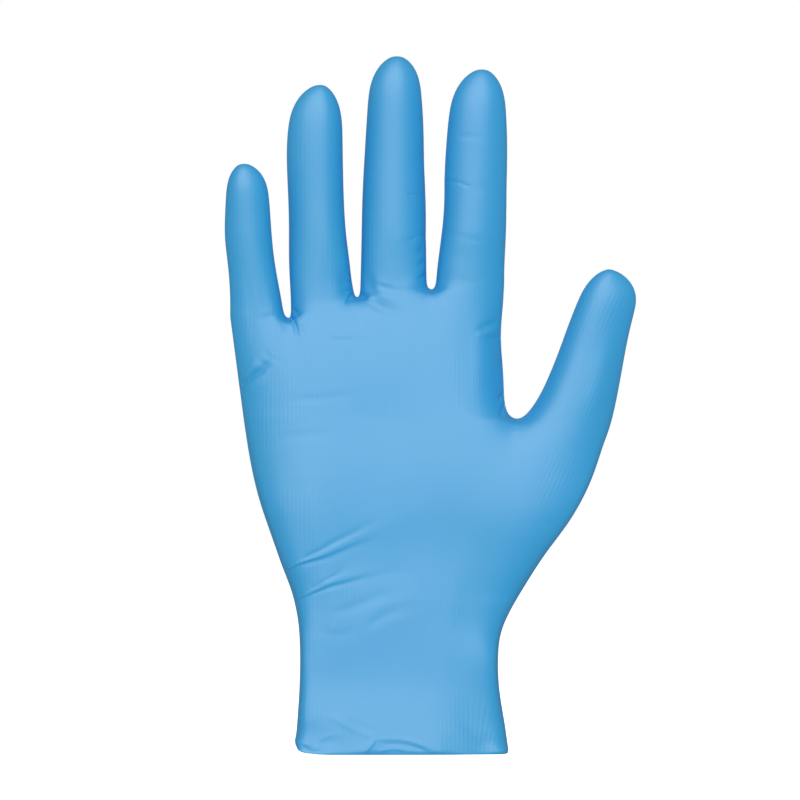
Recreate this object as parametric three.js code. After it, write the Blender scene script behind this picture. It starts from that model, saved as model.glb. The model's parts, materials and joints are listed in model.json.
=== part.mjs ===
import * as THREE from 'three';

const { lerp, smoothstep, degToRad } = THREE.MathUtils;

// Dipped exam glove for a right hand, in the form that a hand gives it. +Z runs from the cuff to the
// fingertips, the palm faces -Y and the thumb lies towards +X. The origin is the middle of the open
// cuff. Lengths are millimetres, angles are degrees, and depths are measured from front to back.

// Film, its rolled hem, and the slots that part the thumb and the little finger from the hand
const FILM = 1;
const SLOT = 0.3;
const BEAD_HEIGHT = 2.4;
const BEAD_BULGE = 0.8;
const CORNER_LIFT = 4;

// Cuff and wrist
const CUFF_WIDTH = 73.1;
const CUFF_DEPTH = 50;
const WRIST_HEIGHT = 31;
const WRIST_WIDTH = 68.1;
const WRIST_DEPTH = 42;
const WRIST_SHIFT = -1;

// Palm, level with the thumb crotch and level with the finger crotches
const THUMB_CROTCH_HEIGHT = 115.5;
const PALM_WIDTH = 94.1;
const PALM_DEPTH = 31;
const PALM_SHIFT = -7.5;
const PALM_SEAT = -1.2;
const PALM_WAIST = 1.1;
const KNUCKLE_HEIGHT = 160.1;
const KNUCKLE_DROP = 9.8;
const KNUCKLE_DEPTH = 23;
const KNUCKLE_SHIFT = -12;

// Mounds and hollow of the palm
const THENAR_RISE = 5;
const HYPOTHENAR_RISE = 2.5;
const PALM_HOLLOW = 2;

// Webs between the digits
const FINGER_WEB_RADIUS = 2.2;
const THUMB_WEB_RADIUS = 6.5;
const WEB_DROP_FRONT = 2;
const WEB_DROP_BACK = 5;
const WEB_FULLNESS = 1.3;

// Thumb
const THUMB_PITCH = 31;
const THUMB_LENGTH = 58.8;
const THUMB_DEPTH = 23;
const THUMB_LEAN = 17.7;
const THUMB_TIP = 11.8;
const THUMB_SEAT = -5;
const THUMB_CURL = -6;

// Index finger
const INDEX_PITCH = 25;
const INDEX_LENGTH = 75.9;
const INDEX_DEPTH = 20.5;
const INDEX_LEAN = 4;
const INDEX_TIP = 15.5;
const INDEX_SEAT = -1.5;
const INDEX_CURL = -4.5;

// Middle finger
const MIDDLE_PITCH = 25.6;
const MIDDLE_LENGTH = 81.5;
const MIDDLE_DEPTH = 21;
const MIDDLE_LEAN = 0.7;
const MIDDLE_TIP = 13.8;
const MIDDLE_SEAT = 0;
const MIDDLE_CURL = -5;

// Ring finger
const RING_PITCH = 23.4;
const RING_LENGTH = 76.5;
const RING_DEPTH = 19.5;
const RING_LEAN = -0.6;
const RING_TIP = 14.4;
const RING_SEAT = -1;
const RING_CURL = -6;

// Little finger
const LITTLE_PITCH = 20.2;
const LITTLE_LENGTH = 53.2;
const LITTLE_DEPTH = 16.5;
const LITTLE_LEAN = -6.3;
const LITTLE_TIP = 11;
const LITTLE_SEAT = -3;
const LITTLE_CURL = -6;

// How far each level between the wrist and the thumb crotch has gone from one to the other: at is the
// level, and the other columns are the shares of the change in the left and right half widths and in
// the depth.
const HEEL_LEVELS = [
  { at: 0, left: 0, right: 0, depth: 0 },
  { at: 0.1, left: 0.005, right: 0, depth: 0 },
  { at: 0.2, left: 0.05, right: 0.045, depth: 0 },
  { at: 0.3, left: 0.15, right: 0.15, depth: 0.05 },
  { at: 0.4, left: 0.32, right: 0.28, depth: 0.12 },
  { at: 0.5, left: 0.47, right: 0.415, depth: 0.22 },
  { at: 0.7, left: 0.76, right: 0.725, depth: 0.5 },
  { at: 0.85, left: 0.9, right: 0.89, depth: 0.76 },
  { at: 1, left: 1, right: 1, depth: 1 },
];

// Sections of each digit from its base to its tip: at is a share of its length, left and right are
// the half widths as shares of its pitch, and depth is a share of its depth.
const THUMB_SECTIONS = [
  { at: 0, left: 0.42, right: 0.5, depth: 1.12 },
  { at: 0.14, left: 0.361, right: 0.512, depth: 1.04 },
  { at: 0.26, left: 0.31, right: 0.497, depth: 0.96 },
  { at: 0.42, left: 0.293, right: 0.455, depth: 0.88 },
  { at: 0.6, left: 0.285, right: 0.408, depth: 0.84 },
  { at: 0.78, left: 0.262, right: 0.376, depth: 0.78 },
  { at: 1, left: 0.22, right: 0.42, depth: 0.68 },
];
const INDEX_SECTIONS = [
  { at: 0, left: 0.448, right: 0.504, depth: 1 },
  { at: 0.15, left: 0.44, right: 0.48, depth: 0.98 },
  { at: 0.25, left: 0.412, right: 0.48, depth: 0.97 },
  { at: 0.37, left: 0.406, right: 0.46, depth: 0.95 },
  { at: 0.51, left: 0.436, right: 0.432, depth: 0.91 },
  { at: 0.66, left: 0.44, right: 0.412, depth: 0.87 },
  { at: 0.8, left: 0.432, right: 0.364, depth: 0.81 },
  { at: 1, left: 0.41, right: 0.36, depth: 0.72 },
];
const MIDDLE_SECTIONS = [
  { at: 0, left: 0.461, right: 0.441, depth: 1 },
  { at: 0.22, left: 0.453, right: 0.422, depth: 0.97 },
  { at: 0.4, left: 0.449, right: 0.414, depth: 0.95 },
  { at: 0.56, left: 0.428, right: 0.381, depth: 0.9 },
  { at: 0.7, left: 0.406, right: 0.375, depth: 0.86 },
  { at: 0.84, left: 0.383, right: 0.34, depth: 0.8 },
  { at: 1, left: 0.355, right: 0.35, depth: 0.72 },
];
const RING_SECTIONS = [
  { at: 0, left: 0.47, right: 0.47, depth: 1 },
  { at: 0.12, left: 0.479, right: 0.419, depth: 0.98 },
  { at: 0.23, left: 0.504, right: 0.393, depth: 0.97 },
  { at: 0.34, left: 0.489, right: 0.349, depth: 0.95 },
  { at: 0.48, left: 0.496, right: 0.329, depth: 0.92 },
  { at: 0.73, left: 0.515, right: 0.32, depth: 0.86 },
  { at: 0.81, left: 0.49, right: 0.322, depth: 0.81 },
  { at: 1, left: 0.445, right: 0.32, depth: 0.72 },
];
const LITTLE_SECTIONS = [
  { at: 0, left: 0.5, right: 0.43, depth: 1 },
  { at: 0.14, left: 0.46, right: 0.407, depth: 0.98 },
  { at: 0.35, left: 0.434, right: 0.363, depth: 0.95 },
  { at: 0.56, left: 0.444, right: 0.372, depth: 0.9 },
  { at: 0.77, left: 0.35, right: 0.398, depth: 0.83 },
  { at: 1, left: 0.31, right: 0.4, depth: 0.76 },
];

// Drop of each finger crotch below the highest one, from the little finger's outer side to the index
// finger's, as a share of the knuckle drop.
const CROTCH_DROPS = [1, 1, 0.27, 0, 0.02];

// Swellings of the palm: x is a share of the palm width from its middle, up a share of the thumb
// crotch height, and across and along are the spreads as shares of the same two sizes.
const MOUNDS = [
  { x: 0.48, up: 0.74, across: 0.17, along: 0.21, rise: THENAR_RISE },
  { x: -0.3, up: 0.72, across: 0.15, along: 0.24, rise: HYPOTHENAR_RISE },
  { x: 0.03, up: 1.04, across: 0.2, along: 0.22, rise: -PALM_HOLLOW },
];

// Folds of the film over the wrist and along the hem, on the palm side. Each runs from a first point
// past a second to a third: x is a share of the wrist width, up a share of the thumb crotch height.
// Rise is the fold's height and spread its half width, as shares of the wrist depth.
const FOLDS = [
  { x1: -0.57, up1: 0.555, x2: -0.28, up2: 0.64, x3: 0.04, up3: 0.725, rise: 0.024, spread: 0.045 },
  { x1: -0.57, up1: 0.54, x2: -0.39, up2: 0.585, x3: -0.22, up3: 0.62, rise: -0.028, spread: 0.04 },
  { x1: -0.52, up1: 0.47, x2: -0.35, up2: 0.52, x3: -0.26, up3: 0.566, rise: 0.024, spread: 0.045 },
  { x1: -0.3, up1: 0.53, x2: -0.15, up2: 0.52, x3: 0.02, up3: 0.548, rise: -0.024, spread: 0.045 },
  { x1: -0.43, up1: 0.366, x2: -0.22, up2: 0.364, x3: 0.01, up3: 0.43, rise: 0.014, spread: 0.06 },
  { x1: -0.39, up1: 0.128, x2: -0.26, up2: 0.077, x3: -0.15, up3: 0.039, rise: 0.02, spread: 0.05 },
  { x1: -0.2, up1: 0.015, x2: -0.03, up2: 0.05, x3: 0.19, up3: 0.015, rise: 0.018, spread: 0.05 },
  { x1: -0.53, up1: 0.06, x2: -0.45, up2: 0.025, x3: -0.37, up3: 0.04, rise: -0.028, spread: 0.045 },
  { x1: 0.32, up1: 0.075, x2: 0.37, up2: 0.045, x3: 0.42, up3: 0.02, rise: -0.022, spread: 0.06 },
];

// How the forms run into each other. The first five are shares of the thumb crotch height, the next
// four shares of the way or the width between the thumb crotch and the knuckles, then two shares of
// a digit's length, and the last four are powers.
const HEM_CORNER_HEIGHT = 0.05;
const SOFT_ZONE = { from: 0.2, to: 0.5 };
const HEEL_START = 0.4;
const THUMB_START = 0.5;
const WEB_DROP_START = 0.85;
const WAIST_START = 0.27;
const FINGER_START = 0.4;
const THUMB_SIDE = { from: 0.7, to: 0.97 };
const WEB_REACH = 0.2;
const BASE_REACH = 0.32;
const LONGEST_FILLET = 0.33;
const FINGER_EASE = 2;
const SEAT_BEND = 3;
const CURL_BEND = 1.8;
const FLANK_FADE = 6;

// Width of the hem's lifted corner as a share of the hem's, how full the bead is at the hem's edge,
// and how often the depths are evened out.
const HEM_CORNER_WIDTH = 0.03;
const BEAD_START = 0.2;
const EVENING_PASSES = 8;

// Mesh density. Web rows are at shares of a web's radius above a digit's base.
const WEB_ROWS = [0.3, 1, 2, 4];
const DOME_END = 0.75;
const DIGIT_COLUMNS = 5;
const SIDE_STEPS = 3;
const CUFF_ROWS = 5;
const FOLD_ROWS = 11;
const HEEL_ROWS = 5;
const FINGER_ROW_HEIGHT = 7.4;
const DOME_ROWS = 4;
const FOLD_ZONE = { from: 0.36, to: 0.76 };
const UPPER_RISES = [0.02, 0.06, 0.15, 0.28, 0.42, 0.56, 0.7, 0.82, 0.92, 1];

// Shapes of the sections across the wrist and across the palm
const WRIST_ROUNDNESS = 2.2;
const PALM_ROUNDNESS = 2.6;

const FRONT = -1;
const BACK = 1;
const HAND = 'hand_film';

// The thumb and the little finger are solids of their own, from a slot just above the web row that
// slotRow counts, because their hollows don't lie in line with the cuff.
const DIGITS = {
  little: {
    pitch: LITTLE_PITCH, length: LITTLE_LENGTH, depth: LITTLE_DEPTH, lean: LITTLE_LEAN,
    tip: LITTLE_TIP, seat: LITTLE_SEAT, curl: LITTLE_CURL, sections: LITTLE_SECTIONS,
    webRadius: FINGER_WEB_RADIUS, node: 'little_finger_film', slotRow: 3,
  },
  ring: {
    pitch: RING_PITCH, length: RING_LENGTH, depth: RING_DEPTH, lean: RING_LEAN,
    tip: RING_TIP, seat: RING_SEAT, curl: RING_CURL, sections: RING_SECTIONS,
    webRadius: FINGER_WEB_RADIUS,
  },
  middle: {
    pitch: MIDDLE_PITCH, length: MIDDLE_LENGTH, depth: MIDDLE_DEPTH, lean: MIDDLE_LEAN,
    tip: MIDDLE_TIP, seat: MIDDLE_SEAT, curl: MIDDLE_CURL, sections: MIDDLE_SECTIONS,
    webRadius: FINGER_WEB_RADIUS,
  },
  index: {
    pitch: INDEX_PITCH, length: INDEX_LENGTH, depth: INDEX_DEPTH, lean: INDEX_LEAN,
    tip: INDEX_TIP, seat: INDEX_SEAT, curl: INDEX_CURL, sections: INDEX_SECTIONS,
    webRadius: FINGER_WEB_RADIUS,
  },
  thumb: {
    pitch: THUMB_PITCH, length: THUMB_LENGTH, depth: THUMB_DEPTH, lean: THUMB_LEAN,
    tip: THUMB_TIP, seat: THUMB_SEAT, curl: THUMB_CURL, sections: THUMB_SECTIONS,
    webRadius: THUMB_WEB_RADIUS, node: 'thumb_film', slotRow: 2,
  },
};
const FINGERS = [DIGITS.little, DIGITS.ring, DIGITS.middle, DIGITS.index];

// A digit's ring has its points at equal angles: six on the palm side, two on each flank and six on
// the back. The flank points lie half a step either side of the digit's widest line.
const RING_STEPS = 2 * (DIGIT_COLUMNS + SIDE_STEPS);
const RING_STEP = (2 * Math.PI) / RING_STEPS;
const END_ANGLE = (SIDE_STEPS / 2) * RING_STEP;
const FLANK_COSINE = Math.cos(RING_STEP / 2);
const END_COSINE = Math.cos(END_ANGLE);
const END_SINE = Math.sin(END_ANGLE);
const FLANK_SHARE = Math.sin(RING_STEP / 2) / END_SINE;
const COLUMN_ANGLES = Array.from(
  { length: DIGIT_COLUMNS + 1 },
  (_, column) => Math.PI - END_ANGLE - column * RING_STEP,
);

// Reads one column of a table at any share, on a smooth curve through the rows.
function readTable(rows, at, column) {
  const last = rows.length - 1;
  const above = rows.findIndex((row) => row.at > at);
  const i = above < 0 ? last - 1 : Math.max(above - 1, 0);
  const [low, high] = [rows[i], rows[i + 1]];
  const slope = (a, b) => (b[column] - a[column]) / (b.at - a.at);
  const here = slope(low, high);
  const before = i > 0 ? (slope(rows[i - 1], low) + here) / 2 : here;
  const after = i + 1 < last ? (slope(high, rows[i + 2]) + here) / 2 : here;
  const span = high.at - low.at;
  const t = (at - low.at) / span;
  const bow = (before - here) * (1 - t) - (after - here) * t;
  return lerp(low[column], high[column], t) + span * t * (1 - t) * bow;
}

// Evenly spaced values from one end, left out, to the other.
function spaced(from, to, count) {
  return Array.from({ length: count }, (_, step) => lerp(from, to, (step + 1) / count));
}

// Rise of a round fillet of the given radius, from 0 at its root to 1 where it meets the wall.
function fillet(height, radius) {
  const left = Math.max(0, 1 - height / radius);
  return Math.sqrt(1 - left * left);
}

// Half depth of a rounded section at a share across it from -1 to 1.
function roundedDepth(across, roundness) {
  return (1 - Math.abs(across) ** roundness) ** (1 / roundness);
}

// Outer skin: its points, its quads and triangles as lists of point numbers with the node that each
// belongs to, and the rings at which the film has an edge. Each point also has how far the hem's bead
// bulges there, how freely its depth is evened out, and how much of a fold it takes.
const skin = { points: [], faces: [], edges: [] };

function addPoint(place, { bulge = 0, softness = 0, foldShare = 0 } = {}) {
  skin.points.push({ place, bulge, softness, foldShare });
  return skin.points.length - 1;
}

// A row of the mesh: front and back from left to right, and two points on each flank, front first.
function ringOf(row) {
  return [...row.front, ...row.right, ...[...row.back].reverse(), ...[...row.left].reverse()];
}

function loft(lower, upper, node) {
  const below = ringOf(lower);
  const above = ringOf(upper);
  below.forEach((corner, i) => {
    const next = (i + 1) % below.length;
    skin.faces.push({ node, corners: [corner, below[next], above[next], above[i]] });
  });
}

function partOfRow(row, from, to, left, right) {
  return { front: row.front.slice(from, to + 1), back: row.back.slice(from, to + 1), left, right };
}

// Places of the mesh columns across one digit, from -1 to 1. A side that joins a web has its last
// column on the web's line, and a free side has it where the flank starts to turn.
function digitColumns(leftJoins, rightJoins) {
  return COLUMN_ANGLES.map((angle) => {
    const cosine = Math.cos(angle);
    const joins = cosine < 0 ? leftJoins : rightJoins;
    return cosine / (joins ? END_COSINE : FLANK_COSINE);
  });
}

// Mesh columns across a run of digits that lie side by side, as shares of its width.
function runColumns(pitches, leftJoins, rightJoins) {
  const width = pitches.reduce((sum, pitch) => sum + pitch, 0);
  const columns = [];
  let start = 0;
  pitches.forEach((pitch, i) => {
    const places = digitColumns(i > 0 || leftJoins, i < pitches.length - 1 || rightJoins);
    places.forEach((place, column) => {
      if (i > 0 && column === 0) return;
      columns.push((start + (pitch * (place + 1)) / 2) / width);
    });
    start += pitch;
  });
  return columns;
}

// The four finger bases side by side make the width of the knuckles.
const FINGER_PITCHES = FINGERS.map((finger) => finger.pitch);
const KNUCKLE_WIDTH = FINGER_PITCHES.reduce((sum, pitch) => sum + pitch, 0);
const JOINED_COLUMNS = runColumns(FINGER_PITCHES, false, true);
const FREE_COLUMNS = runColumns(FINGER_PITCHES, false, false);
const THUMB_COLUMNS = digitColumns(true, false);
const CROTCH_COLUMN = JOINED_COLUMNS.length - 1;

// Edges of the palm level with the thumb crotch, and the outer end of the thumb's base.
const PALM_LEFT = PALM_SHIFT - PALM_WIDTH / 2;
const PALM_RIGHT = PALM_SHIFT + PALM_WIDTH / 2;
const THUMB_TILT = degToRad(THUMB_LEAN);
const HAND_RIGHT = PALM_RIGHT + THUMB_PITCH * Math.cos(THUMB_TILT);
const THUMB_BASE_DROP = THUMB_PITCH * Math.sin(THUMB_TILT);
const HAND_WIDTH = HAND_RIGHT - PALM_LEFT;
const THUMB_LINE_COLUMNS = [
  ...JOINED_COLUMNS.map((share) => (share * PALM_WIDTH) / HAND_WIDTH),
  ...THUMB_COLUMNS.slice(1).map(
    (place) => 1 - ((1 - place) * (HAND_RIGHT - PALM_RIGHT)) / (2 * HAND_WIDTH),
  ),
];

// Distance of a point of the palm side from a fold's line.
function distanceToFold(x, z, fold) {
  const corner = (share, up) => new THREE.Vector3(share * WRIST_WIDTH, 0, up * THUMB_CROTCH_HEIGHT);
  const start = corner(fold.x1, fold.up1);
  const bend = corner(fold.x2, fold.up2);
  const end = corner(fold.x3, fold.up3);
  const place = new THREE.Vector3(x, 0, z);
  const nearest = new THREE.Vector3();
  const distances = [new THREE.Line3(start, bend), new THREE.Line3(bend, end)].map((line) => {
    line.closestPointToPoint(place, true, nearest);
    return nearest.distanceTo(place);
  });
  return Math.min(...distances);
}

// How far the folds lift a point of the palm side.
function foldRise(x, z) {
  return FOLDS.reduce((rise, fold) => {
    const distance = distanceToFold(x, z, fold) / (fold.spread * WRIST_DEPTH);
    return rise + fold.rise * WRIST_DEPTH * Math.exp(-distance * distance);
  }, 0);
}

// How far the mounds lift a point of the palm side.
function moundRise(x, z) {
  return MOUNDS.reduce((rise, mound) => {
    const across = (x - PALM_SHIFT - mound.x * PALM_WIDTH) / (mound.across * PALM_WIDTH);
    const along = (z / THUMB_CROTCH_HEIGHT - mound.up) / mound.along;
    return rise + mound.rise * Math.exp(-(across ** 2) - along ** 2);
  }, 0);
}

// Folds and mounds lie on the palm side and fade out towards the flanks.
function palmShare(side, across) {
  return side === FRONT ? 1 - Math.abs(across) ** FLANK_FADE : 0;
}

// Two flank points between the front and back ends of a section.
function flankPoints(x, z, front, back) {
  const near = (1 - FLANK_SHARE) / 2;
  return [near, 1 - near].map((share) => new THREE.Vector3(x, lerp(front, back, share), z));
}

// The section across the palm at a share of the way from the thumb crotch to the knuckles.
function upperSection(rise) {
  const waist = Math.sin(Math.PI * Math.max(0, (rise - WAIST_START) / (1 - WAIST_START))) ** 2;
  const height = rise * (KNUCKLE_HEIGHT - THUMB_CROTCH_HEIGHT);
  return {
    left: lerp(PALM_LEFT, KNUCKLE_SHIFT - KNUCKLE_WIDTH / 2, rise),
    right: KNUCKLE_SHIFT + KNUCKLE_WIDTH / 2 - PALM_WAIST * waist,
    halfDepth: lerp(PALM_DEPTH, KNUCKLE_DEPTH, rise) / 2,
    joined: 1 - fillet(height, THUMB_WEB_RADIUS),
  };
}

// Place of a mesh column across the upper palm. Columns beside the thumb's web follow its fillet,
// and the others move over to the fingers slowly.
function upperPlace(section, rise, column) {
  const nearWeb = smoothstep(JOINED_COLUMNS[column], THUMB_SIDE.from, THUMB_SIDE.to);
  const moved = lerp(smoothstep(rise, 0, 1), 1 - section.joined, nearWeb);
  const share = lerp(JOINED_COLUMNS[column], FREE_COLUMNS[column], moved);
  return { share, x: lerp(section.left, lerp(PALM_RIGHT, section.right, moved), share) };
}

// Middle of the palm's section from front to back. The thumb's side lies further forward.
function upperMiddle(rise, share) {
  const low = lerp(PALM_SEAT, THUMB_SEAT, share ** SEAT_BEND);
  return lerp(low, lerp(LITTLE_SEAT, INDEX_SEAT, share), rise);
}

// Half depth of the web's end at the thumb crotch, the mean of the palm's flank and the thumb's.
const THUMB_WEB_HALF = (THUMB_DEPTH / 2) * (END_SINE / FLANK_COSINE);

function upperHalfDepth(halfDepth, joined, share) {
  const across = 2 * share - 1;
  const body = halfDepth * roundedDepth(across, PALM_ROUNDNESS);
  const web = THUMB_WEB_HALF * joined * smoothstep(across, WEB_REACH, 1);
  return Math.hypot(body, web);
}

// Depth of the row of finger bases at each column: each finger is round, and the webs lie between.
function knuckleProfile(side) {
  const profile = [];
  FINGERS.forEach((finger, i) => {
    COLUMN_ANGLES.forEach((angle, column) => {
      const isWeb = (i > 0 && column === 0) || (i < FINGERS.length - 1 && column === DIGIT_COLUMNS);
      const depth = (finger.depth / 2) * (Math.sin(angle) / FLANK_COSINE);
      const y = finger.seat + side * depth * (isWeb ? WEB_FULLNESS : 1);
      if (i > 0 && column === 0) profile[profile.length - 1] = (profile.at(-1) + y) / 2;
      else profile.push(y);
    });
  });
  return profile;
}

// Height of the row of finger bases at each column. The webs' ends lie below their middles.
function knuckleHeights(side) {
  const drop = side === FRONT ? WEB_DROP_FRONT : WEB_DROP_BACK;
  return FREE_COLUMNS.map((_, column) => {
    const finger = Math.min(Math.floor(column / DIGIT_COLUMNS), FINGERS.length - 1);
    const share = column / DIGIT_COLUMNS - finger;
    const drops = lerp(CROTCH_DROPS[finger], CROTCH_DROPS[finger + 1], share);
    const isWeb = column % DIGIT_COLUMNS === 0 && column > 0 && column < CROTCH_COLUMN;
    return KNUCKLE_HEIGHT - drops * KNUCKLE_DROP - (isWeb ? drop : 0);
  });
}

function addFlank(x, z, front, back, traits) {
  return flankPoints(x, z, front, back).map((place) => addPoint(place, traits));
}

// A row of the upper palm, from just above the thumb crotch to the finger bases.
function upperRow(rise) {
  const section = upperSection(rise);
  const toFingers = smoothstep(rise, FINGER_START, 1) ** FINGER_EASE;
  const face = (side) => {
    const knuckles = knuckleProfile(side);
    const heights = knuckleHeights(side);
    const webDrop = side === FRONT ? WEB_DROP_FRONT : WEB_DROP_BACK;
    return FREE_COLUMNS.map((_, column) => {
      const { share, x } = upperPlace(section, rise, column);
      const start = THUMB_CROTCH_HEIGHT - (column === CROTCH_COLUMN ? webDrop * section.joined : 0);
      const z = lerp(start, heights[column], rise);
      const mounds = moundRise(x, z) * palmShare(side, 2 * share - 1);
      const halfDepth = upperHalfDepth(section.halfDepth, section.joined, share) + mounds;
      const y = lerp(upperMiddle(rise, share) + side * halfDepth, knuckles[column], toFingers);
      return addPoint(new THREE.Vector3(x, y, z), { softness: 1 });
    });
  };
  const front = face(FRONT);
  const back = face(BACK);
  const flank = (x, drop, column) => {
    const z = lerp(THUMB_CROTCH_HEIGHT, KNUCKLE_HEIGHT - drop * KNUCKLE_DROP, rise);
    const depthOf = (row) => skin.points[row.at(column)].place.y;
    return addFlank(x, z, depthOf(front), depthOf(back), { softness: 1 });
  };
  const edge = lerp(section.right, PALM_RIGHT, section.joined);
  const left = flank(section.left, CROTCH_DROPS[0], 0);
  const right = flank(edge, CROTCH_DROPS.at(-1), -1);
  return { front, back, left, right };
}

// The section across the cuff, wrist and heel of the hand at a share of the thumb crotch height.
function lowerSection(rise) {
  const wristRise = WRIST_HEIGHT / THUMB_CROTCH_HEIGHT;
  if (rise < wristRise) {
    const share = smoothstep(rise, 0, wristRise);
    return {
      left: lerp(-CUFF_WIDTH / 2, WRIST_SHIFT - WRIST_WIDTH / 2, share),
      right: lerp(CUFF_WIDTH / 2, WRIST_SHIFT + WRIST_WIDTH / 2, share),
      halfDepth: lerp(CUFF_DEPTH, WRIST_DEPTH, share) / 2,
    };
  }
  const level = (rise - wristRise) / (1 - wristRise);
  const read = (column) => readTable(HEEL_LEVELS, level, column);
  return {
    left: lerp(WRIST_SHIFT - WRIST_WIDTH / 2, PALM_LEFT, read('left')),
    right: lerp(WRIST_SHIFT + WRIST_WIDTH / 2, HAND_RIGHT, read('right')),
    halfDepth: lerp(WRIST_DEPTH, PALM_DEPTH, read('depth')) / 2,
  };
}

// Depth of a row near the thumb crotch, where the palm and the thumb's base lie side by side.
function thumbLineDepth(column, side, palmHalfDepth) {
  if (column <= CROTCH_COLUMN) {
    const share = JOINED_COLUMNS[column];
    return upperMiddle(0, share) + side * upperHalfDepth(palmHalfDepth, 1, share);
  }
  const angle = COLUMN_ANGLES[column - CROTCH_COLUMN];
  const section = THUMB_SECTIONS[0].depth * THUMB_DEPTH;
  return THUMB_SEAT + side * (section / 2) * (Math.sin(angle) / FLANK_COSINE);
}

// Level of the mesh columns on a row of the lower hand. The thumb's base falls away to the right.
function lowerHeight(rise, share) {
  const crotch = THUMB_LINE_COLUMNS[CROTCH_COLUMN];
  const beyond = Math.max(0, (share - crotch) / (1 - crotch));
  const full = THUMB_CROTCH_HEIGHT - THUMB_BASE_DROP * beyond;
  const corner = Math.exp(-share / HEM_CORNER_WIDTH - (rise / HEM_CORNER_HEIGHT) ** 2);
  return rise * full + CORNER_LIFT * corner;
}

// The rolled hem stands out most at the middle of its height.
function beadBulge(rise) {
  const share = (rise * THUMB_CROTCH_HEIGHT) / BEAD_HEIGHT;
  return share >= 1 ? 0 : BEAD_BULGE * Math.sin(Math.PI * lerp(BEAD_START, 1, share));
}

// A row of the cuff, wrist and heel of the hand, up to the thumb crotch.
function lowerRow(rise) {
  const section = lowerSection(rise);
  const toThumb = smoothstep(rise, THUMB_START, 1);
  const roundness = lerp(WRIST_ROUNDNESS, PALM_ROUNDNESS, smoothstep(rise, HEEL_START, 1));
  const webDrop = { [FRONT]: WEB_DROP_FRONT, [BACK]: WEB_DROP_BACK };
  const softness = smoothstep(rise, SOFT_ZONE.from, SOFT_ZONE.to);
  const traits = { bulge: beadBulge(rise), softness };
  const face = (side) => THUMB_LINE_COLUMNS.map((share, column) => {
    const x = lerp(section.left, section.right, share);
    const across = 2 * share - 1;
    const toWeb = column === CROTCH_COLUMN ? smoothstep(rise, WEB_DROP_START, 1) : 0;
    const drop = webDrop[side] * toWeb;
    const z = lowerHeight(rise, share) - drop;
    const foldShare = palmShare(side, across);
    const mounds = side * foldShare * moundRise(x, z);
    const wrist = lerp(PALM_SEAT, THUMB_SEAT, share ** SEAT_BEND) * toThumb
      + side * section.halfDepth * roundedDepth(across, roundness);
    const y = lerp(wrist, thumbLineDepth(column, side, section.halfDepth), toThumb) + mounds;
    return addPoint(new THREE.Vector3(x, y, z), { ...traits, foldShare });
  });
  const front = face(FRONT);
  const back = face(BACK);
  const flank = (x, share, column) => {
    const depthOf = (row) => skin.points[row.at(column)].place.y;
    return addFlank(x, lowerHeight(rise, share), depthOf(front), depthOf(back), traits);
  };
  return { front, back, left: flank(section.left, 0, 0), right: flank(section.right, 1, -1) };
}

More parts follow.
